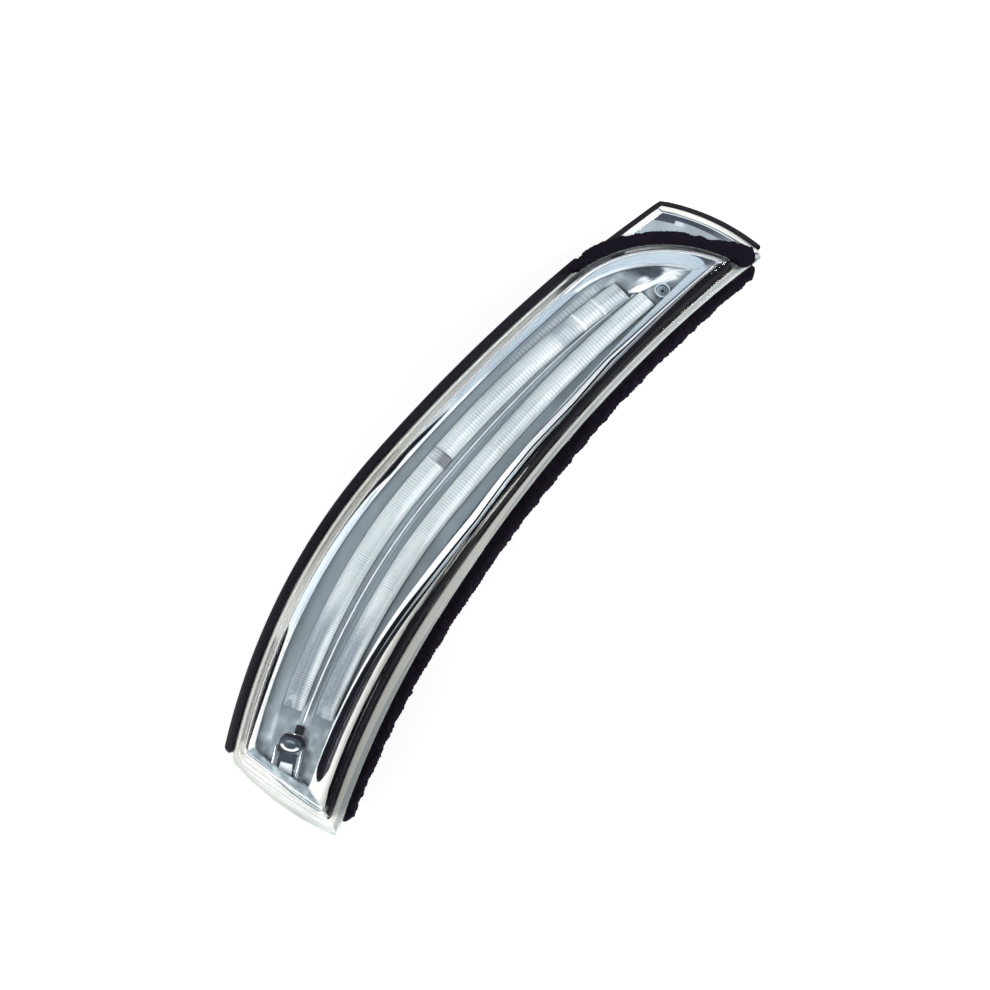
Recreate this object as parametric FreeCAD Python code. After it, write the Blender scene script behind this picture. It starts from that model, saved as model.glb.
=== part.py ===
import FreeCAD, Part
import math
import os
from FreeCAD import Placement, Rotation, Vector

# Millimetres. X runs along the lamp, Y across it towards the leading edge, Z up out of the lens.
# The mounting plane is Z = 0, and the origin is the middle of the four screw bosses.
# A station is a length along the leading edge, and an inset is a distance in from that edge.
# A height is measured from the face of the lens flange, square to the bow.

# Bow of the lamp along its length, about an axis that runs across it
bow_radius = 300.0
bow_top = 34.0

# Leading edge in plan: two tangent arcs that meet at station 0
edge_crown_x = -10.0
edge_crown_y = 26.0
edge_heading = -0.9
edge_radius_outer = 205.0
edge_radius_inner = 900.0

# Clearances: beside a piece, and between bowed faces where one piece lies on another
fit = 0.3
seat = 0.2

# Raised window of the lens in plan, with the insets of its trailing side at four stations
window_inset = 5.3
window_end_front = -96.0
window_end_rear = -110.0
window_end_bulge = 0.4
window_nose_start = 80.0
window_nose_tip = 119.5
window_nose_bulge = 4.2
window_corner = 3.0
quarter_station = -70.0
middle_station = -30.0
inner_station = 35.0
depth_end = 34.8
depth_quarter = 38.9
depth_middle = 40.7
depth_tip = 32.3

# Flange of the lens, which widens past the nose into a three-cornered flat
flange_width = 2.7
seal_width = 3.1
flange_end_front = -97.4
flange_end_rear = -115.0
flange_end_bulge = 2.0
flange_turn = 78.0
flange_apex = 114.4
flange_apex_inset = 4.3
flange_tip = 129.5
flange_nose_bulge = 2.6
flange_corner = 2.5
lens_flange = 2.2

# Lens
lens_height = 7.5
lens_crown_y = -2.0
lens_wall = 1.6
lens_edge_chamfer = 1.5
bead_width = 2.4
bead_height = 0.9

# Rear housing
housing_depth = 14.0
housing_wall = 1.8
rim_width = 1.2
rim_thickness = 1.6
ledge_width = 1.2
back_rib_height = 1.6
back_rib_width = 1.4
back_rib_spacing = 36.0
back_rib_count = 5

# Bosses for the fixing screws
boss_radius = 4.0
boss_rib_length = 15.0
boss_rib_start = 5.0
pilot_radius = 1.3
pilot_depth = 9.0
boss_spacing_x = 120.0
boss_spacing_y = 16.0

# Bezel and its opening
bezel_top = 4.1
bezel_step_width = 1.0
bezel_step_drop = 1.3
bezel_wall = 1.4
opening_inset = 9.3
opening_end_front = -92.6
opening_end_rear = -100.5
opening_end_depth = 27.6
opening_nose_start = 77.2
opening_tip_nose = 0.92
opening_tip_rear = 7.6
opening_rear_outer = 8.4
opening_rear_inner = 6.2
opening_corner = 1.6

# Reflector
reflector_base = 4.0
reflector_plate = 1.6
land_top = 0.6
web_width = 2.2
web_crest = 1.1
web_top = 2.2
hole_station = -84.5
hole_inset = 20.6
hole_size = 2.4
cup_station = 95.5
cup_border = 11.5
cup_radius = 2.3
cup_wall = 0.6
cup_top = 2.0
shield_station = 92.2
shield_border = 15.6
shield_length = 7.2
shield_width = 2.0
shield_top = 3.0
shield_turn = -22.0
shield_round = 0.8

# Light guides: distances from the trailing side at four stations, and the section
guide_start = -78.0
upper_end = 88.0
lower_end = 92.0
upper_quarter = 21.9
upper_middle = 23.9
upper_inner = 24.6
upper_last = 18.9
lower_quarter = 12.7
lower_middle = 13.5
lower_inner = 14.5
lower_last = 11.5
upper_half = 3.2
lower_half = 3.0
guide_base = -0.9
guide_shoulder = 0.9
guide_crown = 3.4
rib_pitch = 8.0
rib_depth = 0.5
gap_station = 11.0
gap_length = 6.0
gap_depth = 1.1
collar_station = 71.0
collar_spacing = 7.6
collar_length = 1.2
collar_stand = 0.4
section_spacing = 20.0

# Light chips and the two boards under the reflector
chip_size = 3.0
chip_thickness = 0.8
board_thickness = 1.2
turn_board_station = 92.5
turn_board_border = 14.1
turn_board_length = 16.0
turn_board_width = 14.0
turn_stake_station = 89.0
turn_stake_border = 11.0
nose_stake_station = 93.0
nose_stake_border = 17.1
stake_radius = 1.0

# Side lamp at the outer end
tower_station = -92.5
tower_inset = 19.3
tower_length = 12.0
tower_width = 8.5
tower_top = 3.4
tower_wall = 1.0
optic_crown = 1.6
stem_radius = 1.5
side_board_length = 13.0
side_board_width = 9.0
side_stake_spacing = 8.0

# Driver board, its parts and the flexible strips
driver_station = 0.0
driver_inset = 21.0
driver_length = 44.0
driver_width = 15.0
driver_headroom = 2.0
post_radius = 2.2
post_spacing = 32.0
screw_radius = 0.9
screw_play = 0.1
screw_length = 4.8
screw_head_radius = 1.8
screw_head = 1.1
driver_chip_size = 6.0
driver_chip_height = 1.4
driver_chip_offset = -7.0
resistor_length = 2.0
resistor_width = 1.2
resistor_height = 0.6
resistor_count = 4
resistor_spacing = 2.0
resistor_offset = 6.0
resistor_shift = 4.5
strip_width = 6.0
strip_thickness = 0.3
strip_lap = 2.0
strip_ramp = 7.0
strip_step = 6.0

# Connector in the back
connector_station = 6.0
connector_inset = 24.0
connector_length = 14.0
connector_width = 10.0
connector_wall = 1.4
connector_floor = 2.0
connector_mouth = 2.0
connector_flange = 2.2
connector_flange_thickness = 1.6
plug_headroom = 2.0
pad_drop = 2.4
pad_border = 4.0
connector_seal_thickness = 0.8
blade_count = 3
blade_pitch = 3.2
blade_width = 1.5
blade_thickness = 0.6
blade_recess = 5.0
blade_stand = 0.3

# Breather patch
vent_station = -22.0
vent_inset = 30.0
vent_radius = 4.0
vent_hole_radius = 2.0
vent_thickness = 0.4

# Edge seal and foam strips
seal_start = -94.0
seal_stop = 86.0
seal_thickness = 3.4
seal_drop = 0.5
nose_seal_width = 1.2
foam_overlap = 2.0
foam_depth = 7.0
foam_end_depth = 5.6
foam_height = 7.0
foam_start = -107.0
foam_stop = 118.5
cross_foam_width = 4.4
cross_foam_height = 3.4

# Reach of the cutting solids past the lamp
reach = 80.0
reach_angle = 30.0
overshoot = 5.0


def heading_at(station):
    """Direction of the leading edge in plan, in radians."""
    radius = edge_radius_outer if station < 0 else edge_radius_inner
    return math.radians(edge_heading) - station / radius


def at(station, inset):
    """Plan point at a station along the leading edge and an inset from it."""
    radius = edge_radius_outer if station < 0 else edge_radius_inner
    heading = math.radians(edge_heading)
    centre = Vector(edge_crown_x + radius * math.sin(heading), edge_crown_y - radius * math.cos(heading), 0)
    angle = math.pi / 2 + heading_at(station)
    return centre + Vector(math.cos(angle), math.sin(angle), 0) * (radius - inset)


def bow_level(x, height):
    """Z of the bowed surface that stands height above the flange face."""
    return bow_top - bow_radius + math.sqrt((bow_radius + height) ** 2 - x ** 2)


def bow_height(x, level):
    """Height above the flange face of a point at a level above the mounting plane."""
    return math.hypot(x, level - bow_top + bow_radius) - bow_radius


def steps(first, last, spacing):
    """Even stations from first to last, about spacing apart."""
    count = max(1, round(abs(last - first) / spacing))
    return [first + (last - first) * i / count for i in range(count + 1)]


def spread(count, spacing):
    """Places of count pieces, spacing apart and centred on zero."""
    return [(i - (count - 1) / 2) * spacing for i in range(count)]


def line_through(knots, station):
    """Inset at a station on the smooth line through knots, each a station and an inset."""
    total = 0
    for here, inset in knots:
        for other, _ in knots:
            if other != here:
                inset *= (station - other) / (here - other)
        total += inset
    return total


def from_rear(station, border):
    """Inset of a line that keeps a border from a smooth line along the window's trailing side."""
    return line_through([(quarter_station, depth_quarter), (middle_station, depth_middle),
                         (window_nose_tip, depth_tip)], station) - border


def upper_line(station):
    border = line_through([(quarter_station, upper_quarter), (middle_station, upper_middle),
                           (inner_station, upper_inner), (upper_end, upper_last)], station)
    return from_rear(station, border)


def lower_line(station):
    border = line_through([(quarter_station, lower_quarter), (middle_station, lower_middle),
                           (inner_station, lower_inner), (lower_end, lower_last)], station)
    return from_rear(station, border)


def arc(start, end, bulge):
    """Arc from start to end that stands out to the left of its chord by bulge."""
    chord = end - start
    side = Vector(-chord.y, chord.x, 0).normalize()
    return Part.Arc(start, (start + end) * 0.5 + side * bulge, end).toShape()


def straight(start, end):
    return Part.LineSegment(start, end).toShape()


def front_edges(first, last, inset):
    """The two arcs of a line that keeps one inset from the leading edge."""
    outer = Part.Arc(at(first, inset), at(first / 2, inset), at(0, inset)).toShape()
    inner = Part.Arc(at(0, inset), at(last / 2, inset), at(last, inset)).toShape()
    return [outer, inner]


def rear_edges(tip, corner, border_inner, border_outer):
    """Two tangent arcs from corner to tip, set in from the window's trailing side by the borders."""
    middle = at(middle_station, depth_middle - (border_inner + border_outer) / 2)
    outer = Part.Arc(corner, at(quarter_station, depth_quarter - border_outer), middle).toShape()
    return [outer, tangent_arc(middle, outer.Curve.Center, tip)]


def tangent_arc(start, centre, end):
    """Arc from start to end that leaves start square to the line from start to a centre."""
    chord = end - start
    inward = (centre - start).normalize()
    radius = chord.dot(chord) / (2 * chord.dot(inward))
    centre = start + inward * radius
    halfway = centre + ((start + end) * 0.5 - centre).normalize() * radius
    return Part.Arc(start, halfway, end).toShape()


def closed(edges):
    return Part.Wire(Part.__sortEdges__(edges))


def outline(edges, corner):
    """Closed outline of the edges with its corners rounded."""
    return grown(grown(closed(edges), -corner), corner)


def grown(wire, distance):
    return wire.makeOffset2D(distance)


def window_outline():
    """Outline of the raised window at the outside of its wall."""
    tip = at(window_nose_tip, depth_tip)
    corner = at(window_end_rear, depth_end)
    edges = front_edges(window_end_front, window_nose_start, window_inset)
    edges.append(arc(tip, at(window_nose_start, window_inset), -window_nose_bulge))
    edges += rear_edges(tip, corner, 0, 0)
    edges.append(arc(at(window_end_front, window_inset), corner, -window_end_bulge))
    return outline(edges, window_corner)


def flange_outline():
    """Outline of the lens flange, with the flat past the nose."""
    tip = at(flange_tip, depth_tip + flange_width)
    corner = at(flange_end_rear, depth_end + flange_width)
    apex = at(flange_apex, flange_apex_inset)
    edges = front_edges(flange_end_front, flange_turn, seal_width)
    edges.append(straight(at(flange_turn, seal_width), apex))
    edges.append(arc(tip, apex, -flange_nose_bulge))
    edges += rear_edges(tip, corner, -flange_width, -flange_width)
    edges.append(arc(at(flange_end_front, seal_width), corner, -flange_end_bulge))
    return outline(edges, flange_corner)


def opening_tip():
    """Tip of the opening, set in by a border from the chords of the window's nose and trailing side."""
    tip = at(window_nose_tip, depth_tip)
    nose = (at(window_nose_start, window_inset) - tip).normalize()
    rear = (at(inner_station, from_rear(inner_station, 0)) - tip).normalize()
    return tip + (rear * opening_tip_nose + nose * opening_tip_rear) / nose.cross(rear).Length


def opening_outline():
    """Outline of the opening in the bezel."""
    start = at(opening_end_front, opening_inset)
    nose = at(opening_nose_start, opening_inset)
    tip = opening_tip()
    corner = at(opening_end_rear, opening_end_depth)
    edges = front_edges(opening_end_front, opening_nose_start, opening_inset)
    edges.append(arc(tip, nose, -window_nose_bulge))
    edges += rear_edges(tip, corner, opening_rear_inner, opening_rear_outer)
    edges.append(arc(start, corner, -window_end_bulge))
    return outline(edges, opening_corner)


def cavity_outline():
    """Outline of what the housing's lower cavity can hold."""
    return grown(window_outline(), -housing_wall - ledge_width - fit)


def prism(wire):
    """Upright column of an outline, taller than the lamp."""
    return Part.Face(wire).extrude(Vector(0, 0, 2 * reach)).translated(Vector(0, 0, -reach))


def bow_axis():
    return Vector(0, 0, bow_top - bow_radius)


def slab(low, high):
    """Bowed slab between two heights, wider and longer than the lamp."""
    def ends(height):
        angles = [math.radians(90 + reach_angle), math.pi / 2, math.radians(90 - reach_angle)]
        radius = bow_radius + height
        return [bow_axis() + Vector(math.cos(a), 0, math.sin(a)) * radius for a in angles]
    bottom, top = ends(low), ends(high)
    wire = Part.Wire([Part.Arc(*bottom).toShape(), straight(bottom[2], top[2]),
                      Part.Arc(*reversed(top)).toShape(), straight(top[0], bottom[0])])
    face = Part.Face(wire)
    face.translate(Vector(0, -reach, 0))
    return face.extrude(Vector(0, 2 * reach, 0))


def crown(height):
    """Ball whose surface crowns the lens both ways, height above the flange face at its top."""
    centre = bow_axis() + Vector(0, lens_crown_y, 0)
    return Part.makeSphere(bow_radius + height, centre, Vector(0, -1, 0), -90, 90, 360)


def plate(wire, low, high):
    """Part of the bowed slab inside an outline."""
    return prism(wire).common(slab(low, high))


def turned(station):
    """Turn that faces a piece along the leading edge."""
    return Rotation(Vector(0, 0, 1), math.degrees(heading_at(station)))


def seated(shape, station, inset):
    """The shape, drawn about the origin, set on the flange face and pitched with the bow."""
    point = at(station, inset)
    pitch = Rotation(Vector(0, 1, 0), math.degrees(math.asin(point.x / bow_radius)))
    point.z = bow_level(point.x, 0)
    moved = shape.copy()
    moved.Placement = Placement(point, pitch.multiply(turned(station))).multiply(shape.Placement)
    return moved


def upright(shape, station, inset, level=0.0):
    """The shape, drawn about the origin, set upright at a level above the mounting plane."""
    point = at(station, inset)
    point.z = level
    moved = shape.copy()
    moved.Placement = Placement(point, turned(station)).multiply(shape.Placement)
    return moved


def block(length, width, low, high):
    """Box centred on the origin in plan."""
    return Part.makeBox(length, width, high - low, Vector(-length / 2, -width / 2, low))


def cylinder(radius, low, high):
    return Part.makeCylinder(radius, high - low, Vector(0, 0, low))


def section(half_base, half_top, low, high):
    """Four-sided section across a line, standing on its base."""
    corners = [(-half_base, low), (half_base, low), (half_top, high), (-half_top, high), (-half_base, low)]
    return Part.makePolygon([Vector(0, y, z) for y, z in corners])


def along(wire, line, stations):
    """Smooth solid through a section repeated along a line."""
    return Part.makeLoft([seated(wire, station, line(station)) for station in stations], True)


def outer_lens():
    """Clear lens: window with a crowned face, flange all round, and the flat past the nose."""
    flange = plate(flange_outline(), -lens_flange, 0)
    dome = prism(window_outline()).common(slab(-lens_flange, lens_height).common(crown(lens_height)))
    dome = dome.makeChamfer(lens_edge_chamfer, [edge for edge in dome.Edges if is_window_rim(edge)])
    hollow = plate(grown(window_outline(), -lens_wall), -lens_flange - overshoot, lens_height)
    hollow = hollow.common(crown(lens_height - lens_wall))
    return flange.fuse(dome).cut(hollow).fuse(nose_bead()).removeSplitter()


def is_window_rim(edge):
    """True for an edge of the window's face, which lies far above the flange."""
    middle = (edge.FirstParameter + edge.LastParameter) / 2
    points = [edge.valueAt(place) for place in (edge.FirstParameter, middle, edge.LastParameter)]
    return all(point.z > bow_level(point.x, lens_height / 2) for point in points)


def nose_bead():
    """Raised bead round the flat past the nose."""
    ring = prism(flange_outline()).cut(prism(grown(flange_outline(), -bead_width)))
    ring = ring.cut(prism(grown(window_outline(), cross_foam_width + 2 * fit)))
    return ring.common(slab(-fit, bead_height)).common(past_nose())


def past_nose():
    """Half space beyond the window's nose."""
    start, tip = at(window_nose_start, window_inset), at(window_nose_tip, depth_tip)
    ahead = (tip - start).normalize() * reach
    side = Vector(-ahead.y, ahead.x, 0)
    corners = [start - ahead, tip + ahead, tip + ahead + side, start - ahead + side, start - ahead]
    return prism(Part.makePolygon(corners))


def floor_height():
    """Height of the middle of the housing's floor, where what stands on it roots."""
    return housing_wall / 2 - housing_depth


def root_level(station, inset):
    return bow_level(at(station, inset).x, floor_height())


def rear_housing():
    """Black housing: rim, tray with a ledge, ribs, bosses, connector pad and posts."""
    rim_top = -lens_flange - seat
    rim = plate(grown(window_outline(), rim_width), rim_top - rim_thickness, rim_top)
    tray = plate(window_outline(), -housing_depth, rim_top)
    solid = tray.fuse([rim, back_ribs(), connector_pad()] + bosses())
    ledge_top = -reflector_base - seat
    upper = plate(grown(window_outline(), -housing_wall), ledge_top, overshoot)
    lower = plate(grown(window_outline(), -housing_wall - ledge_width),
                  housing_wall - housing_depth, ledge_top + fit)
    solid = solid.cut(upper.fuse(lower)).fuse(board_posts())
    return solid.cut(pilot_holes() + post_holes() + [connector_hole(), vent_hole()]).removeSplitter()


def boss_places():
    return [Vector(x, y, 0) for x in spread(2, boss_spacing_x) for y in spread(2, boss_spacing_y)]


def bosses():
    """Screw bosses that end in the mounting plane, each with a rib to both sides of its root."""
    root = bow_level(boss_spacing_x / 2, floor_height())
    rib = block(boss_rib_length, back_rib_width, boss_rib_start, root)
    boss = cylinder(boss_radius, 0, root).fuse(rib)
    return [boss.translated(place) for place in boss_places()]


def pilot_holes():
    return [cylinder(pilot_radius, 0, pilot_depth).translated(place) for place in boss_places()]


def back_ribs():
    """Ribs across the back of the tray."""
    field = plate(grown(window_outline(), -housing_wall), -housing_depth - back_rib_height, floor_height())
    bars = [upright(block(back_rib_width, 2 * reach, 0, bow_top), station, 0)
            for station in spread(back_rib_count, back_rib_spacing)]
    return field.common(bars[0].fuse(bars[1:]))


def pad_level():
    """Level of the flat pad that the connector's seal lies on."""
    return bow_level(at(connector_station, connector_inset).x, -housing_depth) - pad_drop


def connector_pad():
    border = 2 * pad_border
    pad = block(connector_length + border, connector_width + border,
                pad_level(), root_level(connector_station, connector_inset))
    return upright(pad, connector_station, connector_inset)


def connector_hole():
    hole = block(connector_length + 2 * fit, connector_width + 2 * fit, 0, driver_level())
    return upright(hole, connector_station, connector_inset)


def vent_hole():
    return upright(cylinder(vent_hole_radius, 0, bow_top), vent_station, vent_inset)


def post_places():
    return [driver_station + offset for offset in spread(2, post_spacing)]


def board_posts():
    """Posts that carry the driver board."""
    return [upright(cylinder(post_radius, root_level(station, driver_inset), driver_level()),
                    station, driver_inset) for station in post_places()]


def post_holes():
    low = driver_level() + board_thickness - screw_length - fit
    return [upright(cylinder(screw_radius + screw_play, low, driver_level()), station, driver_inset)
            for station in post_places()]


def bezel():
    """Bright frame round the window: a hollow moulding with a step round its opening."""
    low = reflector_plate - reflector_base + seat
    opening = opening_outline()
    ring = plate(grown(window_outline(), -housing_wall - fit), low, bezel_top).cut(prism(opening))
    step = plate(grown(opening, bezel_step_width), bezel_top - bezel_step_drop, bezel_top + overshoot)
    hollow = plate(grown(window_outline(), -housing_wall - fit - bezel_wall),
                   low - overshoot, bezel_top - bezel_step_drop - bezel_wall)
    return ring.cut([step, hollow.cut(prism(grown(opening, bezel_wall)))])


def reflector():
    """Plated tray: rim on the housing's ledge, land with two troughs, web, cup and shield."""
    rim = plate(grown(window_outline(), -housing_wall - fit), -reflector_base,
                reflector_plate - reflector_base)
    land = plate(grown(opening_outline(), -fit), -reflector_base, land_top)
    tray = rim.fuse([land, guide_web(), light_cup(), guide_shield()] + board_stakes())
    cuts = [trough(upper_line, upper_half, upper_end), trough(lower_line, lower_half, lower_end)]
    hole = block(hole_size, hole_size, -reflector_base - overshoot, land_top + overshoot)
    cuts.append(seated(hole, hole_station, hole_inset))
    guide_chip, cup_chip = turn_chip_places()
    cuts += [chip_well(*guide_chip, cup_top), chip_well(tower_station, tower_inset, cup_top)]
    cuts += [chip_well(*cup_chip, reflector_plate - reflector_base), cup_bore()]
    return tray.cut(cuts).removeSplitter()


def trough(line, half, last):
    """Channel that a light guide lies in."""
    wire = section(half + fit, half + fit, guide_base - seat, guide_crown)
    return along(wire, line, steps(guide_start - fit, last + fit, section_spacing))


def guide_web():
    """Web between the two guides."""
    wire = section(web_width / 2, web_crest / 2, 0, web_top)
    return along(wire, lambda station: (upper_line(station) + lower_line(station)) / 2,
                 steps(guide_start, upper_end, section_spacing))


def cup_place():
    return cup_station, from_rear(cup_station, cup_border)


def light_cup():
    """Round cup over the light chip at the end of the lower guide."""
    return seated(cylinder(cup_radius, 0, cup_top), *cup_place())


def cup_bore():
    bore = cylinder(cup_radius - cup_wall, -reflector_base, cup_top + overshoot)
    return seated(bore, *cup_place())


def guide_shield():
    """Slanting wall between the ends of the two guides."""
    wall = block(shield_length, shield_width, 0, shield_top)
    corners = [edge for edge in wall.Edges if edge.BoundBox.ZLength > shield_width]
    wall = wall.makeFillet(shield_round, corners)
    wall.rotate(Vector(0, 0, 0), Vector(0, 0, 1), shield_turn)
    return seated(wall, shield_station, from_rear(shield_station, shield_border))


def chip_well(station, inset, high):
    """Square hole over a light chip, from under the reflector up to a height."""
    side = chip_size + 2 * fit
    return seated(block(side, side, -reflector_base - overshoot, high), station, inset)


def turn_chip_places():
    """Places of the light chips: under the end of the upper guide, and in the cup."""
    station = upper_end - chip_size / 2 - fit
    return [(station, upper_line(station)), cup_place()]


def stake_places():
    sides = [(tower_station + offset, tower_inset) for offset in spread(2, side_stake_spacing)]
    return sides + [(turn_stake_station, from_rear(turn_stake_station, turn_stake_border)),
                    (nose_stake_station, from_rear(nose_stake_station, nose_stake_border))]


def board_stakes():
    """Stakes under the reflector that hold the two boards."""
    stake = cylinder(stake_radius, board_top() - board_thickness, reflector_plate - reflector_base)
    return [seated(stake, station, inset) for station, inset in stake_places()]


def board_top():
    """Height of the upper face of the two boards that hang under the reflector."""
    return -reflector_base - fit


def hung_board(length, width, station, inset):
    """Board under the reflector, trimmed to the housing and drilled for its stakes."""
    board = seated(block(length, width, board_top() - board_thickness, board_top()), station, inset)
    hole = cylinder(stake_radius + fit, board_top() - overshoot, board_top() + overshoot)
    holes = [seated(hole, *place) for place in stake_places()]
    return board.common(prism(cavity_outline())).cut(holes)


def turn_board_place():
    return turn_board_station, from_rear(turn_board_station, turn_board_border)


def turn_board():
    return hung_board(turn_board_length, turn_board_width, *turn_board_place())


def side_board():
    return hung_board(side_board_length, side_board_width, tower_station, tower_inset)


def light_chip():
    return block(chip_size, chip_size, 0, chip_thickness).translated(Vector(0, 0, board_top()))


def turn_light_chips():
    """Two light chips; each lies on the plane of the turn board."""
    chips = []
    middle_station, middle_inset = turn_board_place()
    for station, inset in turn_chip_places():
        shift = Vector(station - middle_station, middle_inset - inset, 0)
        chips.append(seated(light_chip().translated(shift), *turn_board_place()))
    return Part.makeCompound(chips)


def side_light_chip():
    return seated(light_chip(), tower_station, tower_inset)


def guide_section(half, crown):
    """Section of a light guide: flat base, short sides and a crown of three flats."""
    corners = [(-half, guide_base), (half, guide_base), (half, guide_shoulder), (half / 2, crown),
               (-half / 2, crown), (-half, guide_shoulder), (-half, guide_base)]
    return Part.makePolygon([Vector(0, y, z) for y, z in corners])


def light_guide(line, half, last):
    """Guide with ribs across its crown, as a ruled solid through crests and valleys in turn."""
    crest, valley = guide_section(half, guide_crown), guide_section(half, guide_crown - rib_depth)
    sections = [seated(valley if i % 2 else crest, station, line(station))
                for i, station in enumerate(steps(guide_start, last, rib_pitch / 2))]
    return Part.makeLoft(sections, True, True)


def light_guide_upper():
    """Upper guide, with the gap in its ribs and two collars."""
    middle = gap_station + gap_length / 2
    recess = block(gap_length, 4 * upper_half, guide_crown - gap_depth, guide_crown + overshoot)
    guide = light_guide(upper_line, upper_half, upper_end)
    guide = guide.cut(seated(recess, middle, upper_line(middle)))
    return guide.fuse([collar(collar_station), collar(collar_station + collar_spacing)])


def collar(station):
    """Ring that stands out from the upper guide above the land."""
    half = upper_half + collar_stand
    low, crown = land_top + fit, guide_crown + collar_stand
    left, right = Vector(0, -half, low), Vector(0, half, low)
    top = Part.Arc(right, Vector(0, 0, crown), left).toShape()
    face = Part.Face(Part.Wire([straight(left, right), top]))
    face.translate(Vector(-collar_length / 2, 0, 0))
    return seated(face.extrude(Vector(collar_length, 0, 0)), station, upper_line(station))


def light_guide_lower():
    return light_guide(lower_line, lower_half, lower_end)


def side_tower():
    """Bright walls round the side lamp, open at the top and trimmed to the opening."""
    low = land_top + seat
    outer = block(tower_length, tower_width, low, tower_top)
    inner = block(tower_length - 2 * tower_wall, tower_width - 2 * tower_wall, 0, tower_top + overshoot)
    walls = seated(outer.cut(inner), tower_station, tower_inset)
    return walls.common(prism(grown(opening_outline(), -fit)))


def side_optic():
    """Clear optic in the tower: a body with a crowned face and a stem down to the light chip."""
    gap = 2 * (tower_wall + fit)
    length, width = tower_length - gap, tower_width - gap
    radius = (length ** 2 / 4 + optic_crown ** 2) / (2 * optic_crown)
    top = Part.makeCylinder(radius, width, Vector(0, -width / 2, tower_top - radius), Vector(0, 1, 0))
    body = block(length, width, land_top + seat, tower_top).common(top)
    stem = cylinder(stem_radius, board_top() + chip_thickness + fit, tower_top - optic_crown)
    optic = seated(body.fuse(stem), tower_station, tower_inset)
    return optic.common(prism(grown(opening_outline(), -fit)))


def driver_level():
    """Level of the underside of the driver board, which leaves room under the reflector."""
    ends = [at(driver_station + side, driver_inset) for side in spread(2, driver_length)]
    far = max(abs(end.x) for end in ends)
    return bow_level(far, -reflector_base) - driver_headroom - board_thickness


def driver_board():
    """Board on the posts, with a hole for each screw and each blade."""
    level = driver_level()
    board = block(driver_length, driver_width, level, level + board_thickness)
    hole = cylinder(screw_radius + fit, 0, bow_top)
    slot = block(blade_width + fit, blade_thickness + fit, 0, bow_top)
    holes = [upright(hole, station, driver_inset) for station in post_places()]
    return upright(board, driver_station, driver_inset).cut(holes + at_blades(slot))


def board_screws():
    """Screws of the driver board, heads up."""
    seat_level = driver_level() + board_thickness
    screw = cylinder(screw_radius, seat_level - screw_length, seat_level)
    screw = screw.fuse(cylinder(screw_head_radius, seat_level, seat_level + screw_head))
    return Part.makeCompound([upright(screw, station, driver_inset) for station in post_places()])


def on_driver_board(shape, offset, shift):
    """The shape, drawn about the origin, set on the driver board."""
    moved = shape.translated(Vector(offset, shift, driver_level() + board_thickness))
    return upright(moved, driver_station, driver_inset)


def driver_chip():
    chip = block(driver_chip_size, driver_chip_size, 0, driver_chip_height)
    return on_driver_board(chip, driver_chip_offset, 0)


def board_resistors():
    resistor = block(resistor_width, resistor_length, 0, resistor_height)
    return Part.makeCompound([on_driver_board(resistor, resistor_offset + place, resistor_shift)
                              for place in spread(resistor_count, resistor_spacing)])


def flex_strips():
    """Two thin strips that lie on the housing floor and rise to the boards at their ends."""
    outer = flex_strip(driver_station - driver_length / 2, -1, tower_station)
    inner = flex_strip(driver_station + driver_length / 2, 1, turn_board_station)
    return Part.makeCompound([outer, inner])


def flex_strip(board_end, direction, far):
    """Strip from under an end of the driver board to under the middle of a hung board."""
    low = housing_wall - housing_depth + seat
    high = board_top() - board_thickness - fit - strip_thickness
    start = board_end - direction * strip_lap
    start_height = bow_height(at(start, driver_inset).x, driver_level() - fit - strip_thickness)
    down, up = board_end + direction * strip_ramp, far - direction * strip_ramp
    points = [(start, start_height), (board_end, start_height)]
    points += [(station, low) for station in steps(down, up - direction * strip_ramp, strip_step)]
    points += [(up, high), (far, high)]
    wires = [seated(section(strip_width / 2, strip_width / 2, height, height + strip_thickness),
                    station, driver_inset) for station, height in points]
    return Part.makeLoft(wires, True, True)


def flange_level():
    """Level of the upper face of the connector's flange, under the seal."""
    return pad_level() - connector_seal_thickness


def connector_shell():
    """Connector: plug through the floor, flange under the seal, and an open shroud below."""
    body = block(connector_length, connector_width, connector_mouth, driver_level() - plug_headroom)
    flange_low = flange_level() - connector_flange_thickness
    border = 2 * connector_flange
    flange = block(connector_length + border, connector_width + border, flange_low, flange_level())
    wall = 2 * connector_wall
    socket = block(connector_length - wall, connector_width - wall, 0, flange_low - connector_floor)
    shell = upright(body.fuse(flange).cut(socket), connector_station, connector_inset)
    return shell.cut(at_blades(blade())).removeSplitter()


def blade():
    top = driver_level() + board_thickness + blade_stand
    return block(blade_width, blade_thickness, connector_mouth + blade_recess, top)


def at_blades(shape):
    """A copy of the shape at each blade of the connector."""
    return [upright(shape.translated(Vector(place, 0, 0)), connector_station, connector_inset)
            for place in spread(blade_count, blade_pitch)]


def connector_blades():
    return Part.makeCompound(at_blades(blade()))


def connector_seal():
    """Flat ring between the connector's flange and the pad."""
    border = 2 * connector_flange
    ring = block(connector_length + border, connector_width + border, flange_level(), pad_level())
    hole = block(connector_length + fit, connector_width + fit, 0, bow_top)
    return upright(ring.cut(hole), connector_station, connector_inset)


def breather_patch():
    """Breather patch on the back, over its hole."""
    high = -housing_depth - seat
    return seated(cylinder(vent_radius, high - vent_thickness, high), vent_station, vent_inset)


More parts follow.
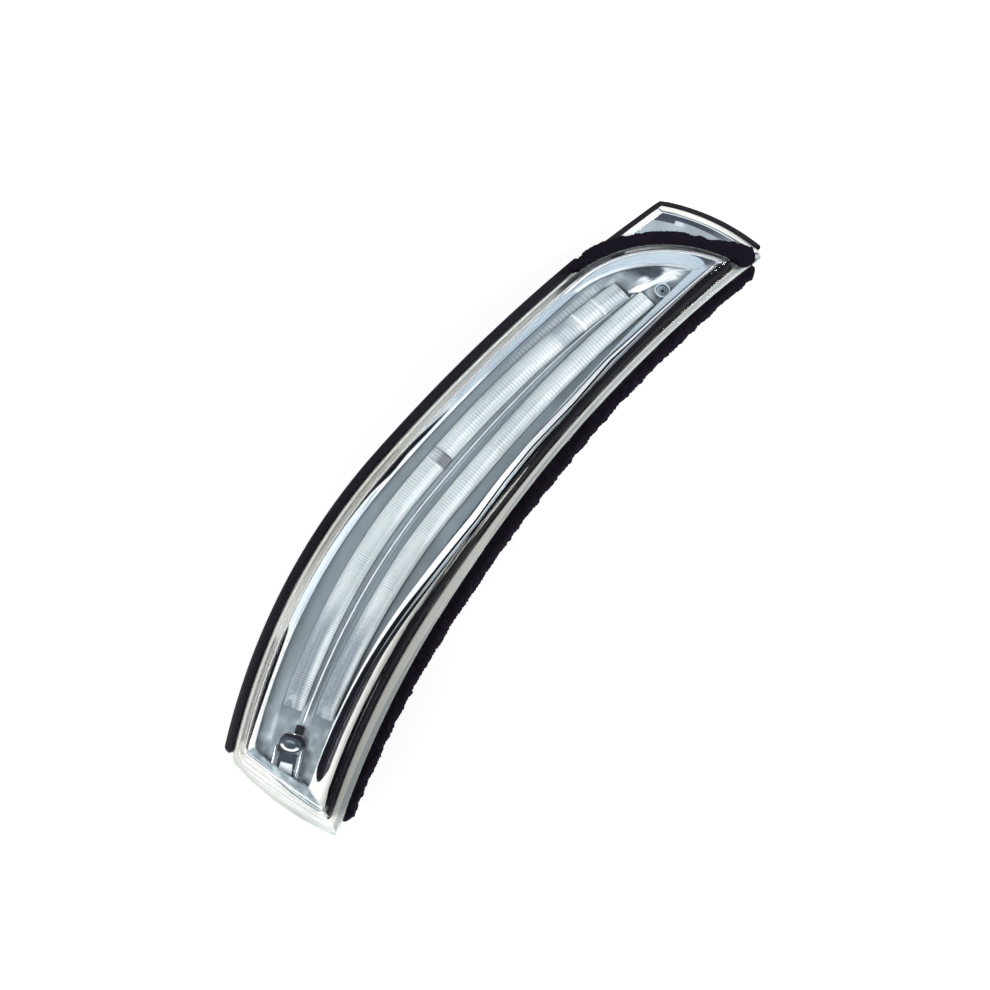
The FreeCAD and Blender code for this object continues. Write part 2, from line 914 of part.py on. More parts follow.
def edge_seal():
    """Black seal along the leading edge which goes on, thinner, round the flat past the nose."""
    inner_inset = seal_width - fit
    edges = front_edges(seal_start, seal_stop, 0) + front_edges(seal_start, seal_stop, inner_inset)
    edges += [straight(at(station, 0), at(station, inner_inset)) for station in (seal_start, seal_stop)]
    strip = prism(closed(edges))
    ring = prism(grown(flange_outline(), fit + nose_seal_width)).cut(prism(grown(flange_outline(), fit)))
    band = strip.fuse(ring.common(past_nose())).cut(prism(grown(flange_outline(), fit)))
    return band.common(slab(-seal_drop - seal_thickness, -seal_drop)).removeSplitter()


def foam_strip_side():
    """Soft strip on the trailing wall of the housing, under the flange."""
    rear = [at(foam_stop, depth_tip - foam_overlap), at(foam_start, depth_end - foam_overlap)]
    front = [at(foam_stop, depth_tip + foam_end_depth), at(foam_start, depth_end + foam_end_depth)]
    edges = rear_edges(rear[0], rear[1], foam_overlap, foam_overlap)
    edges += rear_edges(front[0], front[1], -foam_depth, -foam_depth)
    edges += [straight(rear[0], front[0]), straight(rear[1], front[1])]
    high = -lens_flange - seat - rim_thickness - fit
    strip = prism(closed(edges)).cut(prism(grown(window_outline(), fit)))
    return strip.common(slab(high - foam_height, high))


def foam_strip_cross():
    """Soft strip across the flange, round the window's nose."""
    ring = prism(grown(window_outline(), fit + cross_foam_width)).cut(prism(grown(window_outline(), fit)))
    return ring.common(slab(seat, seat + cross_foam_height)).common(past_nose())


pieces = [outer_lens, rear_housing, bezel, reflector, light_guide_upper, light_guide_lower,
          turn_board, turn_light_chips, side_tower, side_optic, side_board, side_light_chip,
          driver_board, driver_chip, board_resistors, board_screws, flex_strips, connector_shell,
          connector_blades, connector_seal, breather_patch, edge_seal, foam_strip_side, foam_strip_cross]


def main():
    """Writes each piece to a file named after the function that makes it."""
    os.makedirs("parts", exist_ok=True)
    for make in pieces:
        make().exportStep(os.path.join("parts", make.__name__ + ".step"))


if __name__ == "__main__":
    main()
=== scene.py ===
import math

import bpy
import numpy as np
from bpy.props import FloatProperty, PointerProperty
from mathutils import Matrix, Vector


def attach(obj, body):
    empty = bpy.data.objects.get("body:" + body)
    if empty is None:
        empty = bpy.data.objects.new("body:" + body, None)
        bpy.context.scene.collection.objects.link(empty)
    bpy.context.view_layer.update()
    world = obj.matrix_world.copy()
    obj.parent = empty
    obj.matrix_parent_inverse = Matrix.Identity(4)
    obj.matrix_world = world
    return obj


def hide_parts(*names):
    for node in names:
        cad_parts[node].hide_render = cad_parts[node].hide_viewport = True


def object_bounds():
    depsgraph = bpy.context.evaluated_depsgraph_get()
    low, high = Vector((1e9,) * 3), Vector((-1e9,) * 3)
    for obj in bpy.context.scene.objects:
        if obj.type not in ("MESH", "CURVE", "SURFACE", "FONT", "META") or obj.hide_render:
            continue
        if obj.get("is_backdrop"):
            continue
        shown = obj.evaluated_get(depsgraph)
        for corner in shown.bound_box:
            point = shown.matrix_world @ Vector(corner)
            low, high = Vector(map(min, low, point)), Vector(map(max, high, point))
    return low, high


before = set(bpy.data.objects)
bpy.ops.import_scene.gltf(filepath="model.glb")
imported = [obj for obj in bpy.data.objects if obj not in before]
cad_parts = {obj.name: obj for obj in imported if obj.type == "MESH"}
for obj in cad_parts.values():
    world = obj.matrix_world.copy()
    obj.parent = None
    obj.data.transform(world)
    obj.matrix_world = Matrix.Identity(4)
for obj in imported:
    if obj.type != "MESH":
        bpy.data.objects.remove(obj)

bl_info = {
    "name": "Mirror turn signal lamp",
    "version": (1, 0, 0),
    "blender": (4, 5, 0),
    "location": "3D View > Sidebar > Lamp",
    "description": "Builds the looks of a mirror turn signal lamp over its solid model",
    "category": "Object",
}

# Lengths are millimetres until a mesh is made, in the same axes as the solid model.
# A station is a length along the leading edge, an inset a distance in from it,
# and a height a distance out from the face of the lens flange.
MM = 0.001
# Bow along the lamp: its radius, the top of the flange's face, and where the window's crown has its middle
BOW_RADIUS = 300.0
BOW_TOP = 34.0
CROWN_Y = -2.0
# Leading edge: two arcs that meet at station 0, with the place and the heading there
EDGE_X = -10.0
EDGE_Y = 26.0
EDGE_HEADING = math.radians(-0.9)
EDGE_OUTER = 205.0
EDGE_INNER = 900.0
# Height of the window, thickness of the lens and of its flange, heights of the bezel's face and of the seal
LENS_HEIGHT = 7.5
LENS_WALL = 1.6
FLANGE = 2.2
FACE_HEIGHT = 3.6
SEAL_HEIGHT = -2.2

# Corners of the outlines in plan, each by station and inset
WINDOW_HEEL, WINDOW_TURN = (-96.0, 5.3), (80.0, 5.3)
WINDOW_TIP, WINDOW_CORNER = (119.5, 32.3), (-110.0, 34.8)
OPENING_HEEL, OPENING_TURN = (-92.6, 9.3), (77.2, 9.3)
OPENING_TIP, OPENING_CORNER = (108.3, 26.1), (-100.5, 27.6)
LAND_HEEL, LAND_TURN = (-92.9, 9.05), (77.7, 9.05)
LAND_TIP, LAND_CORNER = (108.6, 26.4), (-101.0, 27.9)
FLANGE_HEEL, FLANGE_TURN = (-97.4, 3.1), (78.0, 3.1)
FLANGE_TIP, FLANGE_CORNER = (129.5, 34.8), (-115.0, 37.8)
FLAT_APEX = (116.2, 3.9)
# How far the nose of the window and the inner end of the flat stand out, in plan
NOSE_BULGE = -7.2
FLAT_BULGE = 2.6
# Points of the trailing side
QUARTER = (-70.0, 38.9)
MIDDLE = (-30.0, 40.7)

# Light guides: where they start and stop, half their widths and the knots of their middle lines
GUIDE_START = -78.0
UPPER_STOP, LOWER_STOP = 88.0, 92.0
UPPER_HALF, LOWER_HALF = 3.2, 3.0
UPPER_KNOTS = ((-70.0, 17.0), (-30.0, 16.8), (35.0, 15.4), (88.0, 17.2))
LOWER_KNOTS = ((-70.0, 27.0), (-30.0, 27.7), (35.0, 25.5), (92.0, 24.1))

# Plain colours, linear light
CREAM = (0.82, 0.82, 0.76)
WHITE = (0.88, 0.90, 0.92)
SKY = (0.37, 0.44, 0.49)
SATIN = (0.29, 0.34, 0.37)
SLATE = (0.045, 0.055, 0.075)
BLACK = (0.006, 0.006, 0.011)
PALE = (0.66, 0.73, 0.77)
DUSK = (0.13, 0.16, 0.21)
FROST = (0.43, 0.47, 0.48)
PEARL = (0.64, 0.69, 0.69)
STEEL = (0.40, 0.46, 0.49)


def edge_of(station):
    """Radius and heading of the leading edge at each station."""
    radius = np.where(station < 0, EDGE_OUTER, EDGE_INNER)
    return radius, EDGE_HEADING - station / radius


def plan(station, inset):
    """Plan points: centre + (radius - inset) (cos a, sin a), with a = 90 degrees + heading."""
    station, inset = np.broadcast_arrays(np.asarray(station, float), np.asarray(inset, float))
    radius, heading = edge_of(station)
    x = EDGE_X + radius * math.sin(EDGE_HEADING) - (radius - inset) * np.sin(heading)
    y = EDGE_Y - radius * math.cos(EDGE_HEADING) + (radius - inset) * np.cos(heading)
    return np.stack([x, y], -1)


def unplan(points):
    """Station and inset of plan points, by turning each back about the centre of its arc."""
    results = []
    for radius in (EDGE_OUTER, EDGE_INNER):
        x = points[..., 0] - EDGE_X - radius * math.sin(EDGE_HEADING)
        y = points[..., 1] - EDGE_Y + radius * math.cos(EDGE_HEADING)
        station = radius * (EDGE_HEADING - np.arctan2(-x, y))
        results.append((station, radius - np.hypot(x, y)))
    outer, inner = results
    behind = outer[0] < 0
    return np.where(behind, outer[0], inner[0]), np.where(behind, outer[1], inner[1])


def on_bow(points, height):
    """Space points on the bow: z = top - R + sqrt((R + height)^2 - x^2)."""
    x = points[..., 0]
    z = BOW_TOP - BOW_RADIUS + np.sqrt((BOW_RADIUS + height) ** 2 - x ** 2)
    return np.concatenate([points, z[..., None]], -1)


def on_crown(points, height):
    """Space points on the ball of radius R + height that crowns the lens both ways."""
    x, y = points[..., 0], points[..., 1] - CROWN_Y
    z = BOW_TOP - BOW_RADIUS + np.sqrt((BOW_RADIUS + height) ** 2 - x ** 2 - y ** 2)
    return np.concatenate([points, z[..., None]], -1)


def eased(count):
    """Fractions from 0 towards 1, closer together at both ends: the mean of w and (1 - cos pi w) / 2."""
    w = np.arange(count) / count
    return 0.5 * w + 0.25 * (1 - np.cos(np.pi * w))


# Fractions along a long and along a short side of an outline
LONG = eased(220)
SHORT = eased(56)


def arc_through(a, m, b, w):
    """Points on the circle through a, m and b, at fractions w of the turn from a to b."""
    (ax, ay), (mx, my), (bx, by) = a, m, b
    d = 2 * (ax * (my - by) + mx * (by - ay) + bx * (ay - my))
    aa, mm, bb = ax ** 2 + ay ** 2, mx ** 2 + my ** 2, bx ** 2 + by ** 2
    cx = (aa * (my - by) + mm * (by - ay) + bb * (ay - my)) / d
    cy = (aa * (bx - mx) + mm * (ax - bx) + bb * (mx - ax)) / d
    turns = [math.atan2(y - cy, x - cx) for x, y in (a, m, b)]
    start, _, end = np.unwrap(turns)
    angle = start + (end - start) * np.asarray(w)
    radius = math.hypot(ax - cx, ay - cy)
    return np.stack([cx + radius * np.cos(angle), cy + radius * np.sin(angle)], -1), (cx, cy)


def outward_of(a, b):
    """Unit vector to the right of the way from a to b."""
    chord = b - a
    return np.array([chord[1], -chord[0]]) / np.hypot(*chord)


def bulged(a, b, bulge, w):
    """Points at fractions w of the arc from a to b that stands out to the left by bulge."""
    a, b = np.asarray(a), np.asarray(b)
    return arc_through(a, (a + b) / 2 - outward_of(a, b) * bulge, b, w)[0]


def rear_line(tip, corner, inner, outer, w):
    """Trailing side from corner to tip: an arc through three points, then one tangent to it."""
    middle = plan(MIDDLE[0], MIDDLE[1] - (inner + outer) / 2)
    joint = 0.36
    quarter = plan(QUARTER[0], QUARTER[1] - outer)
    first, centre = arc_through(corner, quarter, middle, np.minimum(w / joint, 1))
    inward = (np.array(centre) - middle) / np.hypot(*(np.array(centre) - middle))
    chord = np.asarray(tip) - middle
    centre = middle + inward * chord.dot(chord) / (2 * chord.dot(inward))
    halfway = (middle + tip) / 2 - centre
    halfway = centre + halfway * np.hypot(*(middle - centre)) / np.hypot(*halfway)
    second = arc_through(middle, halfway, tip, np.maximum((w - joint) / (1 - joint), 0))[0]
    return np.where((w < joint)[:, None], first, second)


def softened(ring, corners, length):
    """The closed ring with each corner replaced by the curve (1-w)^2 P + 2w(1-w) C + w^2 Q."""
    ring = ring.copy()
    count = len(ring)
    for corner in corners:
        order = (np.arange(count) - count // 2 + corner) % count
        line = ring[order]
        run = np.concatenate([[0], np.cumsum(np.hypot(*np.diff(line, axis=0).T))])
        near = np.flatnonzero(np.abs(run - run[count // 2]) < length)
        first, last = near[0], near[-1]
        w = np.linspace(0, 1, last - first + 1)[:, None]
        curve = (1 - w) ** 2 * line[first] + 2 * w * (1 - w) * line[count // 2] + w ** 2 * line[last]
        ring[order[first:last + 1]] = curve
    return ring


RING_CORNERS = (0, len(LONG), len(LONG) + len(SHORT), 2 * len(LONG) + len(SHORT))
FRONT, REAR = slice(*RING_CORNERS[:2]), slice(*RING_CORNERS[2:])


def window_nose(w):
    """Points at fractions w of the window's nose, from its turn off the leading edge to its tip."""
    return bulged(plan(*WINDOW_TIP), plan(*WINDOW_TURN), NOSE_BULGE, 1 - w)


def ring_through(heel, turn, nose, tip, corner, borders, end_bulge, rounding):
    """Closed outline: the front from heel to turn, the nose, the trailing side to corner, and the end."""
    front = plan(heel[0] + (turn[0] - heel[0]) * LONG, heel[1])
    rear = rear_line(plan(*tip), plan(*corner), *borders, 1 - LONG)
    end = bulged(plan(*heel), plan(*corner), end_bulge, 1 - SHORT)
    return softened(np.concatenate([front, nose, rear, end]), RING_CORNERS, rounding)


def window_ring():
    """Plan outline of the raised window, with the same count of points on each side as the other rings."""
    return ring_through(WINDOW_HEEL, WINDOW_TURN, window_nose(SHORT), WINDOW_TIP, WINDOW_CORNER,
                        (0, 0), -0.4, 3.0)


def flange_ring():
    """Plan outline of the flange, whose nose side runs out to the apex of the flat and back."""
    turn, apex, half = plan(*FLANGE_TURN), plan(*FLAT_APEX), 0.5
    out = turn + (apex - turn) * np.minimum(SHORT / half, 1)[:, None]
    back = bulged(plan(*FLANGE_TIP), apex, -FLAT_BULGE, 1 - np.clip((SHORT - half) / (1 - half), 0, 1))
    nose = np.where((SHORT < half)[:, None], out, back)
    return ring_through(FLANGE_HEEL, FLANGE_TURN, nose, FLANGE_TIP, FLANGE_CORNER, (-3.1, -4.1), -2.0, 2.5)


def opening_ring():
    """Plan outline of the opening in the bezel."""
    nose = bulged(plan(*OPENING_TIP), plan(*OPENING_TURN), -4.2, 1 - SHORT)
    return ring_through(OPENING_HEEL, OPENING_TURN, nose, OPENING_TIP, OPENING_CORNER, (6.2, 8.4), -0.4, 2.2)


def inward(ring):
    """Unit normals of a closed ring, towards its inside."""
    tangent = np.roll(ring, -1, 0) - np.roll(ring, 1, 0)
    normal = np.stack([tangent[:, 1], -tangent[:, 0]], -1)
    return normal / np.maximum(np.hypot(*normal.T), 1e-9)[:, None]


def inset_ring(ring, distance):
    """The ring moved towards its inside by a distance."""
    return ring + inward(ring) * distance


def spine_ring(ring):
    """The ring folded onto its middle line, so that both sides meet there."""
    front, rear = ring[FRONT], np.roll(ring[REAR][::-1], 1, 0)
    rear[0] = rear[1]
    middle, fold = (front + rear) / 2, 14
    middle[:fold], middle[-fold:] = middle[fold], middle[-fold - 1]
    return np.concatenate([middle, np.repeat(middle[-1:], len(SHORT), 0), middle[::-1],
                           np.repeat(middle[:1], len(SHORT), 0)])


def left_of(path):
    """Unit vectors to the left of the way along an open path."""
    tangent = np.gradient(path, axis=0)
    return np.stack([-tangent[:, 1], tangent[:, 0]], -1) / np.hypot(*tangent.T)[:, None]


def full_turn(count):
    """Angles round a full turn, without the last, which would meet the first."""
    return np.linspace(0, 2 * math.pi, count, endpoint=False)


def squared(angle, power):
    """Rounded square: each of cos a and sin a keeps its sign, with its size raised to the power."""
    return [np.sign(way) * np.abs(way) ** power for way in (np.cos(angle), np.sin(angle))]


def closing(run, first, last, near, far):
    """Round ends of a strip: 0 at first and last, and 1 past the lengths near and far from them."""
    return np.sqrt(np.clip((run - first) / near, 0, 1)) * np.sqrt(np.clip((last - run) / far, 0, 1))


def line_through(knots, station):
    """Smooth line through the knots: the polynomial of least degree that meets them."""
    total = 0
    for here, inset in knots:
        term = inset
        for other, _ in knots:
            if other != here:
                term = term * (station - other) / (here - other)
        total = total + term
    return total


def noise(seed, *axes):
    """Smooth noise from -1 to 1 over one or two axes, in steps of 1: random values eased between corners."""
    random = np.random.default_rng(seed)
    cells = [np.floor(a).astype(int) for a in axes]
    eases = [(a - c) ** 2 * (3 - 2 * (a - c)) for a, c in zip(axes, cells)]
    table = random.uniform(-1, 1, (256,) * len(axes))
    if len(axes) == 1:
        a, e = cells[0], eases[0]
        return table[a % 256] * (1 - e) + table[(a + 1) % 256] * e
    (a, b), (e, f) = cells, eases
    low = table[a % 256, b % 256] * (1 - e) + table[(a + 1) % 256, b % 256] * e
    high = table[a % 256, (b + 1) % 256] * (1 - e) + table[(a + 1) % 256, (b + 1) % 256] * e
    return low * (1 - f) + high * f


def step(low, high, value):
    """0 below low, 1 above high, and 3t^2 - 2t^3 between."""
    t = np.clip((value - low) / (high - low), 0, 1)
    return t * t * (3 - 2 * t)


def band(value, low, high, soft):
    """1 between low and high, with soft flanks."""
    return step(low - soft, low + soft, value) * (1 - step(high - soft, high + soft, value))


def bands(value, rows):
    """Sum of bands of one value: each row gives low, high and softness."""
    return sum((band(value, *row) for row in rows), 0 * value)


def stripes(value, *rows):
    """Layers of paint by one value: each row gives low, high, softness, strength and colour."""
    return [(band(value, low, high, soft) * strength, colour) for low, high, soft, strength, colour in rows]


def painted(base, *layers):
    """Colour rows: the base, then each (mask, colour) laid over it in turn."""
    shape = np.broadcast_shapes(*[np.shape(mask) for mask, _ in layers])
    rows = np.broadcast_to(np.asarray(base, float), shape + (3,)).copy()
    for mask, colour in layers:
        mask = np.clip(mask, 0, 1)[..., None]
        rows = rows * (1 - mask) + np.asarray(colour) * mask
    return rows


def skin(name, grid, material, paint=None, around=False):
    """Piece from the surface grid[i, j]: a quad for each cell, with j closed on itself if around is true."""
    rows, columns = grid.shape[:2]
    index = np.arange(rows * columns).reshape(rows, columns)
    if around:
        index = np.concatenate([index, index[:, :1]], 1)
    quads = np.stack([index[:-1, :-1], index[:-1, 1:], index[1:, 1:], index[1:, :-1]], -1).reshape(-1, 4)
    mesh = bpy.data.meshes.new(name)
    mesh.vertices.add(rows * columns)
    mesh.vertices.foreach_set("co", (grid.reshape(-1) * MM).astype(np.float32))
    mesh.loops.add(quads.size)
    mesh.loops.foreach_set("vertex_index", quads.reshape(-1).astype(np.int32))
    mesh.polygons.add(len(quads))
    mesh.polygons.foreach_set("loop_start", np.arange(0, quads.size, 4, dtype=np.int32))
    mesh.polygons.foreach_set("use_smooth", np.ones(len(quads), bool))
    if paint is not None:
        colours = mesh.attributes.new("paint", "FLOAT_COLOR", "POINT")
        rgba = np.concatenate([paint, np.ones(paint.shape[:-1] + (1,))], -1)
        colours.data.foreach_set("color", rgba.reshape(-1).astype(np.float32))
    mesh.update(calc_edges=True)
    mesh.validate()
    mesh.materials.append(MATERIALS[material])
    made = bpy.data.objects.new(name, mesh)
    bpy.context.scene.collection.objects.link(made)
    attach(made, "root")
    return made


def add(tree, kind, inputs=(), **settings):
    """New shader node with its settings and inputs; an input is a plain value or another node's socket."""
    node = tree.nodes.new("ShaderNode" + kind)
    for key, value in settings.items():
        setattr(node, key, value)
    for key, value in dict(inputs).items():
        if isinstance(value, bpy.types.NodeSocket):
            tree.links.new(value, node.inputs[key])
        else:
            node.inputs[key].default_value = value
    return node


def new_group(name, inputs, outputs):
    """Empty node group with float, vector or colour sockets, and its input and output nodes."""
    group = bpy.data.node_groups.new(name, "ShaderNodeTree")
    for label, kind, value in inputs:
        socket = group.interface.new_socket(label, in_out="INPUT", socket_type=kind)
        socket.default_value = value
    for label, kind in outputs:
        group.interface.new_socket(label, in_out="OUTPUT", socket_type=kind)
    return group, group.nodes.new("NodeGroupInput"), group.nodes.new("NodeGroupOutput")


def grain_group():
    """Moulded grain: a bump from fine noise in object coordinates, and a mask of broader patches."""
    group, given, result = new_group(
        "Moulded grain", [("Scale", "NodeSocketFloat", 2500.0), ("Strength", "NodeSocketFloat", 0.3)],
        [("Normal", "NodeSocketVector"), ("Patches", "NodeSocketFloat")])
    place = add(group, "TexCoord").outputs["Object"]
    fine = add(group, "TexNoise", {"Vector": place, "Scale": given.outputs["Scale"], "Detail": 3.0})
    bump = add(group, "Bump", {"Height": fine.outputs["Fac"], "Strength": given.outputs["Strength"],
                                         "Distance": 0.0002})
    broad = add(group, "TexNoise", {"Vector": place, "Scale": 90.0, "Detail": 4.0})
    group.links.new(bump.outputs["Normal"], result.inputs["Normal"])
    group.links.new(broad.outputs["Fac"], result.inputs["Patches"])
    return group


def paint_group():
    """Paint of the mesh, made a little lighter and darker by long soft noise."""
    group, given, result = new_group("Painted sheen", [("Change", "NodeSocketFloat", 0.12)],
                                     [("Color", "NodeSocketColor"), ("Patches", "NodeSocketFloat")])
    paint = add(group, "Attribute", attribute_name="paint").outputs["Color"]
    place = add(group, "TexCoord").outputs["Object"]
    broad = add(group, "TexNoise", {"Vector": place, "Scale": 160.0, "Detail": 3.0}).outputs["Fac"]
    around = add(group, "Math", {0: broad, 1: 0.5}, operation="SUBTRACT").outputs[0]
    gain = add(group, "Math", {0: around, 1: given.outputs["Change"], 2: 1.0}, operation="MULTIPLY_ADD")
    mixed = add(group, "VectorMath", {0: paint, "Scale": gain.outputs[0]}, operation="SCALE")
    group.links.new(mixed.outputs["Vector"], result.inputs["Color"])
    group.links.new(broad, result.inputs["Patches"])
    return group


def shaded(name, inputs, alpha_shadow=False):
    """Material of one Principled BSDF; a clear one lets light pass through it to what lies behind."""
    material = bpy.data.materials.new(name)
    material.use_nodes = True
    tree = material.node_tree
    tree.nodes.clear()
    output = add(tree, "OutputMaterial")
    shader = add(tree, "BsdfPrincipled", inputs)
    surface = shader.outputs["BSDF"]
    if alpha_shadow:
        ray = add(tree, "LightPath").outputs["Is Shadow Ray"]
        clear = add(tree, "BsdfTransparent", {"Color": (0.94, 0.95, 0.96, 1)}).outputs["BSDF"]
        mix = add(tree, "MixShader", {0: ray, 1: surface, 2: clear})
        surface = mix.outputs["Shader"]
    tree.links.new(surface, output.inputs["Surface"])
    return material, tree, shader


def rough_by(tree, shader, patches, low, high):
    """Roughness from low to high as the patches change."""
    rough = add(tree, "MapRange", {"Value": patches, "To Min": low, "To Max": high})
    tree.links.new(rough.outputs["Result"], shader.inputs["Roughness"])


def grained(name, colour, roughness, group, scale, strength, metallic=0.0, coat=0.0, gloss=0.5):
    """Opaque material with moulded grain, whose roughness changes from patch to patch."""
    material, tree, shader = shaded(name, {"Base Color": (*colour, 1), "Metallic": metallic,
                                           "Coat Weight": coat, "Specular IOR Level": gloss})
    grain = add(tree, "Group", node_tree=group)
    grain.inputs["Scale"].default_value = scale
    grain.inputs["Strength"].default_value = strength
    rough_by(tree, shader, grain.outputs["Patches"], roughness * 0.8, roughness * 1.2)
    tree.links.new(grain.outputs["Normal"], shader.inputs["Normal"])
    return material


def sheen(name, roughness, metallic, group, change=0.12, coat=0.0, gloss=0.5):
    """Material that takes its colour from the mesh's paint."""
    material, tree, shader = shaded(name, {"Metallic": metallic, "Coat Weight": coat, "Coat Roughness": 0.05,
                                           "Specular IOR Level": gloss})
    paint = add(tree, "Group", node_tree=group)
    paint.inputs["Change"].default_value = change
    tree.links.new(paint.outputs["Color"], shader.inputs["Base Color"])
    rough_by(tree, shader, paint.outputs["Patches"], roughness * 0.8, roughness * 1.25)
    return material


def clear_plastic(name, tint, roughness, ior):
    """Clear plastic with very slight waves in its face."""
    material, tree, shader = shaded(name, {"Base Color": (*tint, 1), "Roughness": roughness, "IOR": ior,
                                           "Metallic": 0.0, "Transmission Weight": 1.0}, True)
    place = add(tree, "TexCoord").outputs["Object"]
    waves = add(tree, "TexNoise", {"Vector": place, "Scale": 60.0, "Detail": 1.0}).outputs["Fac"]
    bump = add(tree, "Bump", {"Height": waves, "Strength": 0.06, "Distance": 0.0003})
    tree.links.new(bump.outputs["Normal"], shader.inputs["Normal"])
    return material


MATERIALS = {}


def make_materials():
    """Fills MATERIALS with every finish of the lamp."""
    grain, paint = grain_group(), paint_group()
    MATERIALS.update(
        lens=clear_plastic("Clear lens", (0.97, 0.98, 0.99), 0.02, 1.24),
        # The liner, satin and guide finishes take their colour from each mesh's paint, which holds painted
        # reflections, highlights and shade.
        liner=sheen("Bright liner", 0.22, 0.0, paint, 0.1, 0.0, 0.15),
        satin=sheen("Satin plating", 0.30, 0.25, paint, 0.25, 0.1),
        guide=sheen("Ribbed clear plastic", 0.16, 0.0, paint, 0.2, 0.4),
        chrome=grained("Bright plating", (0.80, 0.82, 0.85), 0.07, grain, 300.0, 0.02, 1.0),
        rubber=grained("Seal rubber", (0.013, 0.012, 0.018), 0.4, grain, 900.0, 0.05, 0.0, 0.0, 0.15),
        # Matte black for the sheet of painted shade outside the trailing wall of the lens
        mask=grained("Black wall shade", (0.006, 0.006, 0.009), 0.6, grain, 900.0, 0.05, 0.0, 0.0, 0.04),
        foam=grained("Cell foam", (0.009, 0.007, 0.013), 0.95, grain, 1700.0, 0.9, 0.0, 0.0, 0.05),
        housing=grained("Moulded black", (0.016, 0.016, 0.018), 0.48, grain, 2600.0, 0.25),
        white_board=grained("White board", (0.72, 0.74, 0.73), 0.4, grain, 900.0, 0.05),
        green_board=grained("Green board", (0.015, 0.10, 0.045), 0.35, grain, 900.0, 0.08),
        chip=grained("Chip body", (0.02, 0.02, 0.022), 0.5, grain, 2600.0, 0.2),
        light=grained("Light chip", (0.85, 0.70, 0.22), 0.45, grain, 1500.0, 0.1),
        zinc=grained("Zinc plating", (0.55, 0.56, 0.56), 0.3, grain, 1500.0, 0.1, 1.0),
        film=grained("Amber film", (0.42, 0.20, 0.04), 0.25, grain, 700.0, 0.05, 0.0, 0.5),
        brass=grained("Tinned brass", (0.72, 0.68, 0.56), 0.28, grain, 1500.0, 0.1, 1.0),
        vent=grained("Vent felt", (0.72, 0.72, 0.69), 0.9, grain, 2600.0, 0.8),
    )


def dress(node, material):
    """Gives a solid of the frame its finish."""
    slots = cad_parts[node].data.materials
    for place in range(len(slots)):
        slots[place] = MATERIALS[material]


def millimetres(name, description, default, most):
    """Setting of a length in millimetres."""
    return FloatProperty(name=name, description=description + ", in millimetres", default=default, min=0.0,
                         max=most)


class LampLensSettings(bpy.types.PropertyGroup):
    rounding: millimetres("Rim rounding", "Radius of the rim of the window", 1.7, 3.0)
    bead: millimetres("Bead height", "Height of the bead round the flat", 0.9, 2.0)


class LampGuideSettings(bpy.types.PropertyGroup):
    rib_pitch: FloatProperty(name="Rib pitch", description="Length of one rib of a guide, in millimetres",
                             default=0.78, min=0.5, max=4.0)
    rib_depth: millimetres("Rib depth", "Depth of the ribs", 0.2, 0.6)


class LampFoamSettings(bpy.types.PropertyGroup):
    lumps: millimetres("Lumps", "Depth of the torn lumps of the foam", 0.45, 2.0)
    tufts: millimetres("Tufts", "Depth of the fine tufts of the foam", 0.28, 1.0)


class LampStageSettings(bpy.types.PropertyGroup):
    distance: FloatProperty(name="Distance", description="From the camera to the lamp", default=1.2,
                            min=0.3, unit="LENGTH")
    turn: FloatProperty(name="Turn", description="Turn of the lamp in the picture",
                        default=math.radians(49.4), subtype="ANGLE")
    power: FloatProperty(name="Lamp power", description="Power of the softbox and of the strip lamp",
                         default=12.6, min=0.0, unit="POWER")


# Painted shade on the trailing wall, a black sheet just outside the clear wall: at each station, the turn of
# the rim's rounding at which it stops
WALL_SHADE_STATIONS = (-110, -98, -67, -50, -36, -20, 5, 20, 28, 36, 52, 107, 119)
WALL_SHADE_TURNS = (0.9, 0.8, 0.63, 0.35, 0.3, 0.5, 1.1, 1.4, 1.0, 0.4, 0.35, 0.3, 0.5)
WALL_SHADE_GAP = 0.04


def lens_rings(window, flange, settings):
    """Rings of the lens: its crown, rounded rim and wall, the flange with its bead, and the hollow inside."""
    r = settings.rounding
    top, inner = inset_ring(window, r), inset_ring(window, LENS_WALL)
    spine = spine_ring(top)
    rings = [on_crown(spine * (1 - w) + top * w, LENS_HEIGHT) for w in np.linspace(0, 1, 22)[:-1] ** 0.8]
    for a in np.linspace(0, math.pi / 2, 7):
        points = on_crown(inset_ring(window, r * (1 - math.sin(a))), LENS_HEIGHT)
        points[:, 2] -= r * (1 - math.cos(a))
        rings.append(points)
    low, foot = rings[-1], on_bow(window, 0.5)
    rings += [low * (1 - w) + foot * w for w in np.linspace(0, 1, 5)[1:]]
    near, far = inset_ring(window, -0.5), inset_ring(flange, 0.4)
    rings += [on_bow(inset_ring(window, -0.15), 0.15), on_bow(near, 0.0)]
    gap = np.hypot(*(far - near).T)
    for w in np.linspace(0, 1, 16)[1:]:
        raised = settings.bead * band((1 - w) * gap, 0.5, 2.0, 0.5) * step(5.0, 8.0, gap)
        rings.append(on_bow(near * (1 - w) + far * w, raised))
    rings += [on_bow(inset_ring(flange, distance), height) for distance, height in
              ((0.1, -0.12), (0.0, -0.45), (0.0, 0.3 - FLANGE), (0.3, -FLANGE))]
    rings += [on_bow(inset_ring(window, LENS_WALL - 0.2), -FLANGE), on_bow(inner, 0.2 - FLANGE)]
    ceiling, rounding = LENS_HEIGHT - LENS_WALL, 0.6
    low, shoulder = rings[-1], on_crown(inner, ceiling)
    shoulder[:, 2] -= rounding
    rings += [low * (1 - w) + shoulder * w for w in np.linspace(0, 1, 5)[1:]]
    rim = inset_ring(inner, rounding)
    return rings + [on_crown(spine * (1 - w) + rim * w, ceiling) for w in np.linspace(1, 0, 18) ** 0.8]


